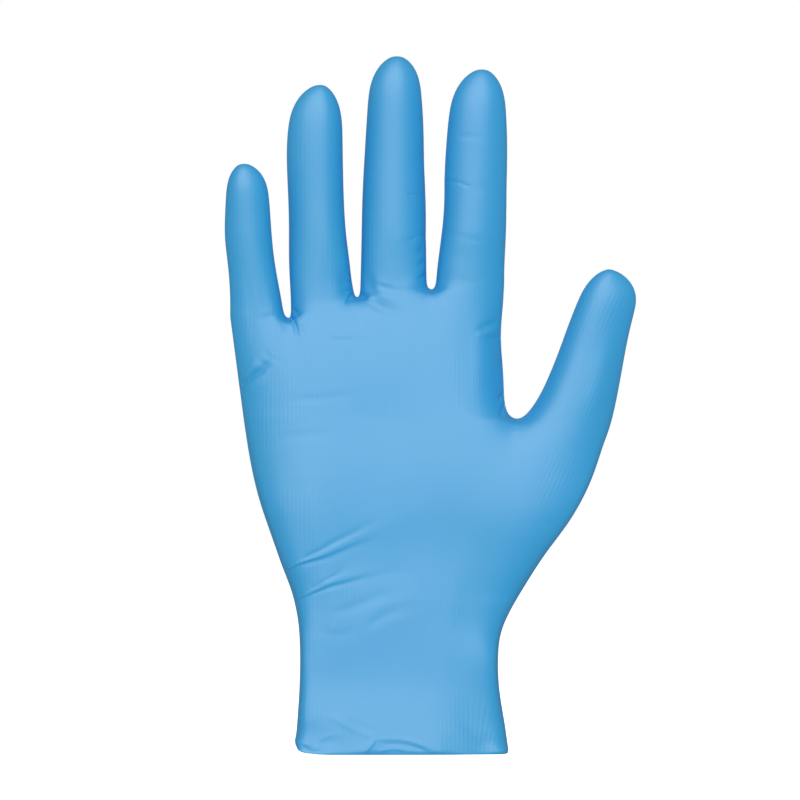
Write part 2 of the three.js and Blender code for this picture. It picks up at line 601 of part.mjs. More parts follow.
// One digit: rings that leave its base row and ease into its own sections, closed by a round tip.
function buildDigit(digit, baseRow) {
  const lean = degToRad(digit.lean);
  const axis = new THREE.Vector3(Math.sin(lean), 0, Math.cos(lean));
  const across = new THREE.Vector3(Math.cos(lean), 0, -Math.sin(lean));
  const base = ringOf(baseRow).map((number) => skin.points[number].place.clone());
  const leftFlank = skin.points[baseRow.left[0]].place;
  const rightFlank = skin.points[baseRow.right[0]].place;
  const origin = new THREE.Vector3().addVectors(leftFlank, rightFlank).multiplyScalar(0.5).setY(0);
  const frontAngles = COLUMN_ANGLES.map((angle) => -angle);
  const flankAngles = [-RING_STEP / 2, RING_STEP / 2];
  const backAngles = COLUMN_ANGLES.map((angle) => angle);
  const angles = [
    ...frontAngles,
    ...flankAngles,
    ...backAngles.reverse(),
    ...flankAngles.map((angle) => angle + Math.PI),
  ];

  // A ring of the digit's own form, at a distance along it and shrunk towards its middle line.
  const ownRing = (along, swell) => {
    const share = along / digit.length;
    const read = (column) => readTable(digit.sections, share, column);
    const halfDepth = (read('depth') * digit.depth) / 2;
    const middle = digit.seat + digit.curl * share ** CURL_BEND;
    return angles.map((angle) => {
      const cosine = Math.cos(angle) / FLANK_COSINE;
      const halfWidth = read(cosine < 0 ? 'left' : 'right') * digit.pitch;
      const point = origin.clone();
      point.addScaledVector(axis, along);
      point.addScaledVector(across, cosine * halfWidth * swell);
      point.y = middle + (Math.sin(angle) / FLANK_COSINE) * halfDepth * swell;
      return point;
    });
  };

  const start = ownRing(0, 1);
  const ringAt = (along, swell) => {
    const ease = 1 - smoothstep(along / digit.length, 0, BASE_REACH);
    return ownRing(along, swell).map((point, i) => {
      const offset = base[i].clone().sub(start[i]);
      const sideways = offset.dot(across);
      const reach = Math.min(
        digit.webRadius / Math.cos(angles[i]) ** 2,
        digit.length * LONGEST_FILLET,
      );
      point.addScaledVector(offset.addScaledVector(across, -sideways), ease);
      return point.addScaledVector(across, sideways * (1 - fillet(along, reach)));
    });
  };

  const shoulder = digit.length - digit.tip;
  const webRows = WEB_ROWS.map((share) => share * digit.webRadius);
  const webHeight = webRows.at(-1);
  const rowCount = Math.round((shoulder - webHeight) / FINGER_ROW_HEIGHT);
  const levels = [
    ...[...webRows, ...spaced(webHeight, shoulder, rowCount)].map((along) => ({ along, swell: 1 })),
    ...Array.from({ length: DOME_ROWS }, (_, row) => {
      const angle = (((row + 1) / (DOME_ROWS + DOME_END)) * Math.PI) / 2;
      return { along: shoulder + digit.tip * Math.sin(angle), swell: Math.cos(angle) };
    }),
  ];
  let below = baseRow;
  let node = HAND;
  levels.forEach((level, i) => {
    const softness = 1 - smoothstep(level.along, 0, 2 * FINGER_ROW_HEIGHT);
    const numbers = ringAt(level.along, level.swell).map((point) => addPoint(point, { softness }));
    const columns = DIGIT_COLUMNS + 1;
    const row = {
      front: numbers.slice(0, columns),
      right: numbers.slice(columns, columns + 2),
      back: numbers.slice(columns + 2, 2 * columns + 2).reverse(),
      left: numbers.slice(2 * columns + 2).reverse(),
    };
    loft(below, row, node);
    below = row;
    if (i !== digit.slotRow) return;
    skin.edges.push({ node, ring: ringOf(row).reverse(), shift: new THREE.Vector3() });
    node = digit.node;
    skin.edges.push({ node, ring: ringOf(row), shift: axis.clone().multiplyScalar(SLOT) });
  });
  const pole = origin.clone().addScaledVector(axis, digit.length);
  const top = addPoint(pole.setY(digit.seat + digit.curl));
  const last = ringOf(below);
  last.forEach((corner, i) => {
    skin.faces.push({ node, corners: [corner, last[(i + 1) % last.length], top] });
  });
}

// Lower hand from the hem to the thumb crotch
const beadRise = BEAD_HEIGHT / THUMB_CROTCH_HEIGHT;
const lowerRises = [
  0,
  beadRise / 2,
  beadRise,
  ...spaced(beadRise, FOLD_ZONE.from, CUFF_ROWS),
  ...spaced(FOLD_ZONE.from, FOLD_ZONE.to, FOLD_ROWS),
  ...spaced(FOLD_ZONE.to, 1, HEEL_ROWS),
];
const lowerRows = lowerRises.map(lowerRow);
lowerRows.slice(1).forEach((row, i) => loft(lowerRows[i], row, HAND));
skin.edges.push({ node: HAND, ring: ringOf(lowerRows[0]), shift: new THREE.Vector3() });

// Thumb, and the web that joins it to the palm
const thumbLine = lowerRows.at(-1);
const webFront = skin.points[thumbLine.front[CROTCH_COLUMN]].place;
const webBack = skin.points[thumbLine.back[CROTCH_COLUMN]].place;
const thumbWeb = addFlank(PALM_RIGHT, THUMB_CROTCH_HEIGHT, webFront.y, webBack.y);
const lastColumn = THUMB_LINE_COLUMNS.length - 1;
buildDigit(DIGITS.thumb, partOfRow(thumbLine, CROTCH_COLUMN, lastColumn, thumbWeb, thumbLine.right));

// Upper palm from the thumb crotch to the finger bases
let palmRow = partOfRow(thumbLine, 0, CROTCH_COLUMN, thumbLine.left, thumbWeb);
for (const rise of UPPER_RISES) {
  const row = upperRow(rise);
  loft(palmRow, row, HAND);
  palmRow = row;
}

// Fingers, and the webs between them
const fingerWebs = [1, 2, 3].map((border) => {
  const column = border * DIGIT_COLUMNS;
  const front = skin.points[palmRow.front[column]].place;
  const back = skin.points[palmRow.back[column]].place;
  const height = KNUCKLE_HEIGHT - CROTCH_DROPS[border] * KNUCKLE_DROP;
  return addFlank(front.x, height, front.y, back.y);
});
const borders = [palmRow.left, ...fingerWebs, palmRow.right];
FINGERS.forEach((finger, i) => {
  const from = i * DIGIT_COLUMNS;
  buildDigit(finger, partOfRow(palmRow, from, from + DIGIT_COLUMNS, borders[i], borders[i + 1]));
});

// Evens out the depth where the palm, the thumb and the fingers run into each other. The outline
// seen from the front stays. Near neighbours count for more than far ones.
function evenOutDepths() {
  const neighbours = skin.points.map(() => new Map());
  const link = (from, to) => {
    const distance = skin.points[from].place.distanceTo(skin.points[to].place);
    neighbours[from].set(to, 1 / Math.max(distance, FILM / 2));
  };
  for (const { corners } of skin.faces) {
    corners.forEach((number, i) => {
      const next = corners[(i + 1) % corners.length];
      link(number, next);
      link(next, number);
    });
  }
  for (let pass = 0; pass < EVENING_PASSES; pass += 1) {
    const depths = skin.points.map((point) => point.place.y);
    skin.points.forEach(({ place, softness }, i) => {
      let total = 0;
      let weights = 0;
      neighbours[i].forEach((weight, number) => {
        total += weight * depths[number];
        weights += weight;
      });
      place.y = lerp(place.y, total / weights, softness / 2);
    });
  }
}

// Outward direction of the skin at each point, level along the hem.
function skinNormals() {
  const normals = skin.points.map(() => new THREE.Vector3());
  const first = new THREE.Vector3();
  const second = new THREE.Vector3();
  for (const { corners } of skin.faces) {
    const places = corners.map((number) => skin.points[number].place);
    first.subVectors(places[2], places[0]);
    second.subVectors(places.at(-1), places[1]);
    const normal = new THREE.Vector3().crossVectors(first, second);
    corners.forEach((number) => normals[number].add(normal));
  }
  ringOf(lowerRows[0]).forEach((number) => normals[number].setZ(0));
  return normals.map((normal) => normal.normalize());
}

// Film of one node between its outer skin and an inner skin one film thickness inside it, closed by a
// rim at each edge. The ring above a slot is shifted along the digit by the slot.
function filmGeometry(node, normals) {
  const faces = skin.faces.filter((face) => face.node === node);
  const edges = skin.edges.filter((edge) => edge.node === node);
  const used = [...new Set(faces.flatMap((face) => face.corners))];
  const count = used.length;
  const vertexOf = new Map(used.map((number, i) => [number, i]));
  const shiftOf = new Map(edges.flatMap(({ ring, shift }) => ring.map((number) => [number, shift])));
  const still = new THREE.Vector3();
  const skinAt = (offsetOf) => used.flatMap((number) => {
    const { place, bulge } = skin.points[number];
    const shifted = place.clone().add(shiftOf.get(number) ?? still);
    return shifted.addScaledVector(normals[number], offsetOf(bulge)).toArray();
  });
  const positions = [...skinAt((bulge) => bulge), ...skinAt(() => -FILM)];
  const triangles = [];
  const addFace = ([a, b, c, d]) => {
    triangles.push(a, b, c);
    if (d !== undefined) triangles.push(a, c, d);
  };
  for (const face of faces) {
    const corners = face.corners.map((number) => vertexOf.get(number));
    addFace(corners);
    addFace(corners.map((corner) => corner + count).reverse());
  }
  for (const { ring } of edges) {
    const corners = ring.map((number) => vertexOf.get(number));
    corners.forEach((corner, i) => {
      const next = corners[(i + 1) % corners.length];
      addFace([next, corner, corner + count, next + count]);
    });
  }
  const geometry = new THREE.BufferGeometry();
  geometry.setAttribute('position', new THREE.Float32BufferAttribute(positions, 3));
  geometry.setIndex(triangles);
  geometry.computeVertexNormals();
  return geometry;
}

evenOutDepths();
for (const { place, foldShare } of skin.points) {
  place.y -= foldShare * foldRise(place.x, place.z);
}

const normals = skinNormals();
const glove = new THREE.Group();
for (const node of [HAND, DIGITS.thumb.node, DIGITS.little.node]) {
  const nitrile = new THREE.MeshStandardMaterial({ color: 0x6db5e5, roughness: 0.55, metalness: 0 });
  const film = new THREE.Mesh(filmGeometry(node, normals), nitrile);
  film.name = node;
  glove.add(film);
}

export default glove;
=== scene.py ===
"""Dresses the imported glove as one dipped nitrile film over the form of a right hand.

The film's outer skin is refined from the frame's own solids, gets its folds, creases and finger
wrinkles, and is closed over an inner skin by a rolled lip along the hem. Lengths are metres, and
the folds' routes and sizes are millimetres.
"""

import json
import logging
import math
from dataclasses import dataclass, field
from enum import Enum

import bpy
import numpy as np
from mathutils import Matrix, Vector
from mathutils.bvhtree import BVHTree

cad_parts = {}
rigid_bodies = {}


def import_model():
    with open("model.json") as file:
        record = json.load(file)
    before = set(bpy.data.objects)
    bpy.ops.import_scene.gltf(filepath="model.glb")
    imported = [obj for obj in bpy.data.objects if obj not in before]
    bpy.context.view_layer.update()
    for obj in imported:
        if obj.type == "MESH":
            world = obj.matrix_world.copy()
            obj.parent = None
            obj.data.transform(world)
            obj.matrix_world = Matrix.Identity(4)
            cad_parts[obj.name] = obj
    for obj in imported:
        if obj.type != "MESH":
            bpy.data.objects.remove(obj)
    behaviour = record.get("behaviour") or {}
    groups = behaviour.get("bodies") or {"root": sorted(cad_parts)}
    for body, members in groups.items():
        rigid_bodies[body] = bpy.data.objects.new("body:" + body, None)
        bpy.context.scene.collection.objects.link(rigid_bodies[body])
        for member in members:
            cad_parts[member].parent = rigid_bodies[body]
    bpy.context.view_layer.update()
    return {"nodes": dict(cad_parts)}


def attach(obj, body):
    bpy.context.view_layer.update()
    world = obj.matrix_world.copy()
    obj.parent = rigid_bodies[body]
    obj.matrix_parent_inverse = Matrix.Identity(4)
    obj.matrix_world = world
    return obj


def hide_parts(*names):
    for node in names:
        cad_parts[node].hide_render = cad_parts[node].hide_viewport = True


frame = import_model()

log = logging.getLogger("glove")
MM = 0.001
# Points of a fold's line in each stretch of its route
LINE_STEPS = 8
# How many half widths away from its line a fold still lifts the film
FOLD_REACH = 3.0


def srgb(code: str) -> tuple[float, float, float, float]:
    """Turns an sRGB hex colour into the linear values that a shader socket takes.

    Args:
        code: Six hex digits, such as "2a9edf".

    Returns:
        Linear red, green and blue, and full opacity.
    """
    parts = [int(code[i : i + 2], 16) / 255 for i in (0, 2, 4)]
    linear = [p / 12.92 if p <= 0.04045 else ((p + 0.055) / 1.055) ** 2.4 for p in parts]
    return (*linear, 1.0)


def add_node(tree: bpy.types.NodeTree, kind: str, settings: dict | None = None, **links) -> bpy.types.Node:
    """Adds one node to a tree with its settings, socket values and links.

    Args:
        tree: Node tree that takes the node.
        kind: Type name of the node, such as "ShaderNodeBump".
        settings: Properties of the node, and socket values under the socket's name or number.
        **links: Output sockets that feed this node's inputs, by input name with _ for a blank.

    Returns:
        The new node.
    """
    node = tree.nodes.new(kind)
    for name, value in (settings or {}).items():
        if isinstance(name, int) or name in node.inputs:
            node.inputs[name].default_value = value
        else:
            setattr(node, name, value)
    for name, source in links.items():
        tree.links.new(source, node.inputs[name.replace("_", " ")])
    return node


def smooth(value: np.ndarray, low: float, high: float) -> np.ndarray:
    """Rises smoothly from 0 at low to 1 at high."""
    share = np.clip((value - low) / (high - low), 0, 1)
    return share * share * (3 - 2 * share)


def only(obj: bpy.types.Object) -> None:
    """Makes one object the only selected one and the active one.

    Args:
        obj: The object.
    """
    bpy.ops.object.select_all(action="DESELECT")
    obj.select_set(True)
    bpy.context.view_layer.objects.active = obj


def places_of(obj: bpy.types.Object) -> np.ndarray:
    """Reads the vertex places of a mesh object.

    Args:
        obj: The mesh object.

    Returns:
        Places, one row each.
    """
    flat = np.empty(len(obj.data.vertices) * 3)
    obj.data.vertices.foreach_get("co", flat)
    return flat.reshape(-1, 3)


def normals_of(obj: bpy.types.Object) -> np.ndarray:
    """Reads the vertex normals of a mesh object.

    Args:
        obj: The mesh object.

    Returns:
        Normals, one row each.
    """
    flat = np.empty(len(obj.data.vertices) * 3)
    obj.data.vertex_normals.foreach_get("vector", flat)
    return flat.reshape(-1, 3)


def set_places(obj: bpy.types.Object, places: np.ndarray) -> None:
    """Moves the vertices of a mesh object to new places."""
    obj.data.vertices.foreach_set("co", places.ravel())
    obj.data.update()


def select_faces(obj: bpy.types.Object, wanted: np.ndarray) -> None:
    """Selects the marked faces of a mesh object and nothing else, ready for edit mode.

    Args:
        obj: The mesh object.
        wanted: A mark for each face.
    """
    mesh = obj.data
    bpy.context.tool_settings.mesh_select_mode = (False, False, True)
    mesh.vertices.foreach_set("select", np.zeros(len(mesh.vertices), bool))
    mesh.edges.foreach_set("select", np.zeros(len(mesh.edges), bool))
    mesh.polygons.foreach_set("select", wanted)


def select_rims() -> None:
    """Selects the open rims of the mesh in edit mode, by their points."""
    bpy.ops.mesh.select_mode(type="VERT")
    bpy.ops.mesh.select_all(action="DESELECT")
    bpy.ops.mesh.select_non_manifold(extend=False, use_wire=True, use_boundary=True,
                                     use_multi_face=False, use_non_contiguous=False)


def face_data(obj: bpy.types.Object) -> tuple[np.ndarray, np.ndarray]:
    """Reads the centres and normals of a mesh object's faces.

    Args:
        obj: The mesh object.

    Returns:
        Centres and normals, one row each.
    """
    count = len(obj.data.polygons)
    centres, normals = np.empty(count * 3), np.empty(count * 3)
    obj.data.polygons.foreach_get("center", centres)
    obj.data.polygons.foreach_get("normal", normals)
    return centres.reshape(-1, 3), normals.reshape(-1, 3)


class Side(Enum):
    """Side of the hand that a fold lies on, as the sign of the outward Y."""

    PALM = -1
    BACK = 1


class Section(Enum):
    """Cross-section of a fold, as the power with which it falls off from its line.

    A round one swells like a wave, and a pleat has a flatter top between steeper sides.
    """

    ROUND = 2
    PLEAT = 4


@dataclass(frozen=True)
class Fold:
    """One fold of the film, in millimetres.

    Attributes:
        route: Points (x, z) of its line, seen from the front.
        height: How far the film rises, or sinks where it is negative.
        width: Half width of the section at the start of the line.
        opening: How many times wider the fold is at its end.
        section: Shape across the line.
        side: Side of the hand.
        ends: Shares of the line over which the fold grows at its start and fades at its end.
        fineness: How many more times the mesh is divided along the fold.
        level: Whether the film moves straight to the front, which keeps the outline.
    """

    route: tuple[tuple[float, float], ...]
    height: float
    width: float
    opening: float = 1.0
    section: Section = Section.ROUND
    side: Side = Side.PALM
    ends: tuple[float, float] = (0.2, 0.4)
    fineness: int = 1
    level: bool = False

    def line(self) -> np.ndarray:
        """Lays a smooth curve through the route.

        Returns:
            The curve's points, one row each.
        """
        points = np.array(self.route, float)
        first, last = 2 * points[0] - points[1], 2 * points[-1] - points[-2]
        padded = np.vstack([first, points, last])
        share = np.linspace(0, 1, LINE_STEPS, endpoint=False)[:, None]
        stretches = []
        for a, b, c, d in zip(padded, padded[1:], padded[2:], padded[3:]):
            bend = 2 * a - 5 * b + 4 * c - d
            twist = 3 * (b - c) + d - a
            stretches.append(b + 0.5 * share * ((c - a) + share * (bend + share * twist)))
        return np.vstack([*stretches, points[-1:]])

    def measured(self, places: np.ndarray, reach: float) -> tuple[np.ndarray, np.ndarray, np.ndarray]:
        """Measures places against the fold's line.

        Args:
            places: Places (x, z), one row each.
            reach: How far from the line a place counts, in half widths.

        Returns:
            The numbers of the places that count, their distances in half widths, and their shares
            of the line's length.
        """
        line = self.line()
        runs = np.diff(line, axis=0)
        lengths = np.linalg.norm(runs, axis=1)
        starts = np.concatenate([[0], np.cumsum(lengths)])
        margin = reach * self.width * max(self.opening, 1)
        low, high = line.min(0) - margin, line.max(0) + margin
        near = np.flatnonzero(((places > low) & (places < high)).all(1))
        offset = places[near, None, :] - line[None, :-1, :]
        along = np.clip((offset * runs).sum(2) / lengths**2, 0, 1)
        distance = np.linalg.norm(offset - along[..., None] * runs, axis=2)
        best = distance.argmin(1)
        rows = np.arange(len(near))
        share = (starts[best] + along[rows, best] * lengths[best]) / starts[-1]
        widths = distance[rows, best] / (self.width * (1 + (self.opening - 1) * share))
        counts = widths < reach
        return near[counts], widths[counts], share[counts]

    def rise(self, places: np.ndarray) -> np.ndarray:
        """How far the fold lifts each place.

        Args:
            places: Places (x, z), one row each.

        Returns:
            Heights, one for each place.
        """
        near, widths, share = self.measured(places, FOLD_REACH)
        taper = smooth(share, 0, self.ends[0]) * (1 - smooth(share, 1 - self.ends[1], 1))
        lift = np.zeros(len(places))
        lift[near] = self.height * taper * np.exp(-(widths**self.section.value))
        return lift


# Tension folds from the little finger's side of the wrist, and the slack below them.
WRIST_FOLDS = (
    Fold(((-39.7, 64.3), (-35.3, 66.4), (-30.8, 68.1), (-26.5, 69.6), (-22.0, 71.7), (-17.5, 73.8),
          (-13.1, 75.6), (-3.4, 80.1)), 0.41, 0.45, 4.5, Section.PLEAT, ends=(0.03, 0.97), fineness=2),
    Fold(((-35.4, 67.2), (-30.8, 69.2), (-26.5, 71.5), (-22.0, 74.1), (-17.5, 76.3), (-13.2, 78.6),
          (-8.7, 81.0), (-2.1, 84.9), (6.2, 89.4)), -0.18, 0.65, 3.2, ends=(0.1, 0.85)),
    Fold(((-35.4, 65.3), (-30.8, 66.6), (-26.5, 67.7), (-23.0, 68.8), (-19.3, 70.5), (-14.8, 72.2),
          (-10.3, 73.6), (-0.7, 75.3)), -0.16, 0.65, 2.8, ends=(0.1, 0.9)),
    Fold(((-36.1, 54.3), (-32.3, 56.0), (-29.2, 57.4), (-26.5, 58.8), (-23.4, 60.2), (-20.3, 61.0),
          (-15.8, 62.6), (-8.3, 65.3)), 0.38, 0.42, 4.5, Section.PLEAT, ends=(0.03, 0.97), fineness=2),
    Fold(((-32.3, 56.9), (-29.2, 58.3), (-26.8, 60.0), (-23.7, 61.6), (-21.7, 62.9), (-19.6, 65.0),
          (-17.2, 67.7)), -0.12, 0.6, 1.6, ends=(0.2, 0.5)),
    Fold(((-32.3, 55.2), (-28.5, 56.7), (-25.0, 57.9), (-21.3, 58.8), (-17.5, 59.7), (-13.1, 60.9),
          (-8.6, 61.9), (-2.8, 63.1), (7.6, 63.3)), -0.18, 0.62, 3.0, ends=(0.1, 0.75)),
    Fold(((-26.5, 49.5), (-20.5, 50.0), (-17.5, 50.9), (-13.2, 52.7), (-8.7, 54.5), (-4.3, 55.6),
          (2.1, 55.3)), -0.23, 1.3, 1.5, ends=(0.3, 0.4), fineness=0),
    Fold(((-29.2, 43.3), (-22.7, 41.8), (-18.3, 42.6), (-13.9, 43.5)),
        -0.2, 1.0, 1.3, ends=(0.4, 0.4), fineness=0),
    Fold(((-14.1, 43.7), (-10.2, 45.7), (-5.8, 48.6), (-1.4, 50.1), (6.2, 51.2)),
        -0.25, 1.2, 2.0, ends=(0.3, 0.5), fineness=0),
    Fold(((-29.6, 35.4), (-26.1, 35.6), (-22.0, 34.7)), -0.1, 0.9, 1.2, ends=(0.4, 0.4), fineness=0),
    Fold(((-28.9, 39.2), (-24.8, 39.9), (-19.6, 38.9)), -0.07, 0.9, 1.2, ends=(0.4, 0.4), fineness=0),
)
# Crumples of the slack cuff along the hem, and last its edge on the thumb's side, which turns away.
HEM_FOLDS = (
    Fold(((-29.6, 14.8), (-22.9, 13.3), (-17.3, 10.3), (-12.8, 8.5), (-9.1, 6.3)),
        0.34, 0.75, 1.4, ends=(0.5, 0.15)),
    Fold(((-22.0, 14.1), (-16.5, 11.3), (-12.0, 9.5), (-8.3, 7.9)), -0.24, 1.1, 1.2, ends=(0.4, 0.4)),
    Fold(((-9.1, 6.3), (-11.0, 3.8), (-13.1, 1.2)), 0.32, 0.7, 1.0, ends=(0.1, 0.3)),
    Fold(((-10.3, 6.3), (-3.8, 6.3), (1.9, 5.7), (7.6, 4.1), (12.4, 1.7)),
        0.26, 0.65, 1.3, ends=(0.12, 0.3)),
    Fold(((-7.6, 4.7), (-0.3, 4.8), (5.3, 3.3), (10.0, 1.2)), -0.24, 0.85, 1.0, ends=(0.2, 0.3)),
    Fold(((-8.9, 1.9), (-2.6, 3.2), (3.1, 1.9)), 0.24, 0.6, 1.0, ends=(0.3, 0.3)),
    Fold(((-36.4, 6.0), (-34.7, 4.5), (-33.0, 3.3), (-30.9, 2.8)), 0.28, 0.6, 1.0, ends=(0.1, 0.3)),
    Fold(((-36.4, 4.1), (-34.0, 2.4), (-30.9, 1.4)), -0.48, 0.8, 1.3, ends=(0.1, 0.4)),
    Fold(((-31.3, 2.8), (-28.5, 5.4), (-23.0, 7.7), (-17.9, 8.9)), 0.2, 0.7, 1.6, ends=(0.2, 0.5)),
    Fold(((-29.6, 3.4), (-26.5, 5.8), (-21.3, 6.9)), -0.24, 1.2, 1.3, ends=(0.3, 0.5), fineness=0),
    Fold(((19.3, 11.3), (23.4, 9.4), (27.9, 5.4), (31.3, 3.1)),
        -0.34, 1.5, 1.3, ends=(0.4, 0.3), fineness=0),
    Fold(((17.2, 3.4), (22.0, 2.4), (28.2, 1.0)), -0.24, 1.0, 1.3, ends=(0.4, 0.3), fineness=0),
    Fold(((13.1, 18.9), (18.2, 15.5), (23.4, 14.4)), -0.16, 2.0, 1.3, ends=(0.4, 0.4), fineness=0),
    Fold(((37.8, 39.5), (36.1, 20.6), (34.7, -2.4)),
        -3.36, 16.0, 1.0, ends=(0.7, 0.01), fineness=0, level=True),
)
# Creases across the palm below the fingers, the deepest under the index finger.
PALM_CREASES = (
    Fold(((-39.9, 121.5), (-32.0, 122.4), (-26.7, 122.4), (-19.8, 123.6), (-12.4, 123.6)),
        -0.26, 0.9, 1.3, ends=(0.3, 0.4), fineness=0),
    Fold(((-43.3, 108.7), (-34.4, 109.8), (-28.2, 110.6), (-21.3, 110.7)),
        -0.23, 0.95, 1.3, ends=(0.3, 0.4), fineness=0),
    Fold(((-28.9, 146.1), (-20.6, 147.3), (-16.0, 146.5), (-11.7, 146.9)),
        -0.16, 0.8, 1.0, ends=(0.3, 0.4), fineness=0),
    Fold(((-26.8, 143.2), (-23.4, 142.7), (-19.6, 142.7), (-16.0, 142.8), (-8.9, 141.6)),
        -0.16, 0.75, 1.4, ends=(0.3, 0.5)),
    Fold(((-26.1, 144.1), (-21.3, 143.9), (-14.4, 144.1)), 0.18, 0.6, 1.2, ends=(0.3, 0.5)),
    Fold(((24.8, 146.0), (28.2, 147.0), (30.6, 148.0), (33.4, 149.6)),
        -0.52, 1.0, 1.3, ends=(0.4, 0.3)),
    Fold(((24.8, 144.2), (28.2, 144.9), (32.7, 146.6)), 0.33, 0.9, 1.0, ends=(0.3, 0.3)),
    Fold(((28.2, 142.5), (30.9, 143.2), (34.7, 143.7)), -0.39, 0.6, 1.0, ends=(0.3, 0.2)),
)
# Creases that gather at the finger crotches and at the thumb's web.
CROTCH_CREASES = (
    Fold(((-38.3, 150.8), (-37.1, 148.5), (-36.2, 146.1), (-36.1, 142.0)),
        -0.68, 0.75, 1.2, ends=(0.05, 0.6), fineness=2),
    Fold(((-37.5, 153.4), (-36.1, 152.0), (-34.7, 149.9)), -0.36, 0.6, 1.2, ends=(0.1, 0.5)),
    Fold(((-35.1, 148.9), (-34.4, 146.1), (-34.2, 143.4)), -0.16, 0.7, 1.2, ends=(0.3, 0.5)),
    Fold(((-39.2, 147.9), (-39.9, 144.8)), -0.11, 0.7, 1.2, ends=(0.3, 0.5)),
    Fold(((-16.8, 158.9), (-18.2, 156.4), (-19.4, 154.6)), -0.5, 0.6, 1.0, ends=(0.1, 0.3), fineness=2),
    Fold(((-17.2, 162.3), (-18.7, 163.0), (-19.9, 162.6)), -0.32, 0.6, 1.0, ends=(0.1, 0.4)),
    Fold(((-16.8, 159.4), (-18.2, 159.9), (-19.3, 159.5)), -0.27, 0.6, 1.0, ends=(0.1, 0.4)),
    Fold(((-19.4, 167.5), (-19.8, 162.3), (-19.1, 156.4)),
        -0.54, 1.7, 1.0, ends=(0.3, 0.25), fineness=0),
    Fold(((-14.3, 159.5), (-12.5, 156.4), (-9.1, 154.7), (-4.5, 152.5), (0.0, 150.5), (5.5, 148.2)),
        -0.85, 1.1, 2.8, ends=(0.1, 0.75)),
    Fold(((-11.4, 166.8), (-10.7, 160.6), (-8.6, 156.8), (-5.5, 154.0)),
        -0.45, 1.5, 1.2, ends=(0.4, 0.5), fineness=0),
    Fold(((-14.6, 157.0), (-12.9, 153.8), (-10.0, 151.1), (-6.2, 149.2)),
        -0.23, 0.7, 1.6, ends=(0.2, 0.5)),
    Fold(((-10.0, 162.5), (-7.2, 161.1), (-3.8, 160.0), (1.0, 159.4)),
        -0.2, 0.95, 1.4, ends=(0.45, 0.5)),
    Fold(((-10.3, 163.7), (-6.2, 162.3), (-1.4, 161.1)), 0.09, 0.9, 1.2, ends=(0.3, 0.5)),
    Fold(((-9.6, 159.4), (-6.2, 158.0), (-2.1, 156.1), (2.4, 154.4)),
        0.27, 1.2, 1.3, ends=(0.3, 0.5), fineness=0),
    Fold(((-28.2, 153.2), (-25.1, 151.8), (-22.3, 150.5)), -0.2, 0.55, 1.3, ends=(0.3, 0.4)),
    Fold(((-25.8, 154.0), (-23.0, 152.3), (-19.6, 151.3)), -0.14, 0.6, 1.3, ends=(0.3, 0.4)),
    Fold(((7.2, 175.0), (6.2, 173.6), (4.6, 173.1)), -0.45, 0.8, 1.2, ends=(0.1, 0.5)),
    Fold(((7.7, 169.9), (6.2, 168.5), (4.8, 168.1)), -0.41, 0.7, 1.2, ends=(0.1, 0.5)),
    Fold(((8.3, 165.0), (6.5, 164.0), (4.8, 163.7)), -0.41, 0.7, 1.2, ends=(0.1, 0.5)),
    Fold(((9.6, 160.4), (7.6, 160.6), (4.5, 159.7), (1.0, 159.4)), -0.23, 0.7, 1.3, ends=(0.2, 0.5)),
    Fold(((11.7, 160.2), (14.8, 157.5), (17.2, 153.4)), -0.14, 0.9, 1.3, ends=(0.2, 0.5)),
    Fold(((35.1, 124.8), (33.9, 123.3), (32.8, 121.4)), -0.45, 0.55, 1.2, ends=(0.15, 0.4), fineness=2),
    Fold(((35.4, 120.7), (34.2, 118.3), (33.9, 115.5)), -0.45, 0.6, 1.2, ends=(0.15, 0.4), fineness=2),
)
# Folds of the palm's two sides.
SIDE_FOLDS = (
    Fold(((-55.5, 126.9), (-53.1, 128.6), (-50.9, 130.5), (-48.5, 132.0), (-46.1, 134.4),
          (-44.0, 136.5)), -0.64, 0.8, 1.5, ends=(0.05, 0.45), fineness=2),
    Fold(((-54.7, 128.9), (-52.6, 132.0), (-50.2, 134.6), (-48.1, 136.5)),
        0.28, 0.9, 1.2, ends=(0.2, 0.4)),
    Fold(((-50.9, 136.0), (-48.1, 134.8), (-45.4, 133.3), (-43.3, 131.3)),
        -0.12, 0.9, 1.2, ends=(0.4, 0.5)),
    Fold(((-56.6, 126.5), (-55.4, 126.2), (-53.6, 126.0)), -0.4, 0.7, 1.0, ends=(0.1, 0.5), fineness=2),
    Fold(((-54.0, 124.8), (-50.2, 126.9), (-45.4, 130.3)), 0.18, 1.2, 1.4, ends=(0.3, 0.5), fineness=0),
    Fold(((-50.2, 171.9), (-48.1, 159.9), (-46.1, 149.6), (-44.7, 141.0)),
        -0.13, 1.0, 1.6, ends=(0.3, 0.4), fineness=0),
    Fold(((-53.6, 166.8), (-51.9, 156.4), (-51.2, 146.1), (-51.9, 139.3)),
        -0.16, 1.1, 1.4, ends=(0.3, 0.3), fineness=0),
    Fold(((-46.1, 161.6), (-43.3, 151.3), (-42.3, 141.0)), 0.11, 1.0, 1.4, ends=(0.3, 0.4), fineness=0),
    Fold(((-48.1, 141.0), (-46.1, 137.5), (-43.3, 135.8), (-39.2, 135.1)),
        -0.1, 0.8, 1.3, ends=(0.3, 0.4), fineness=0),
)
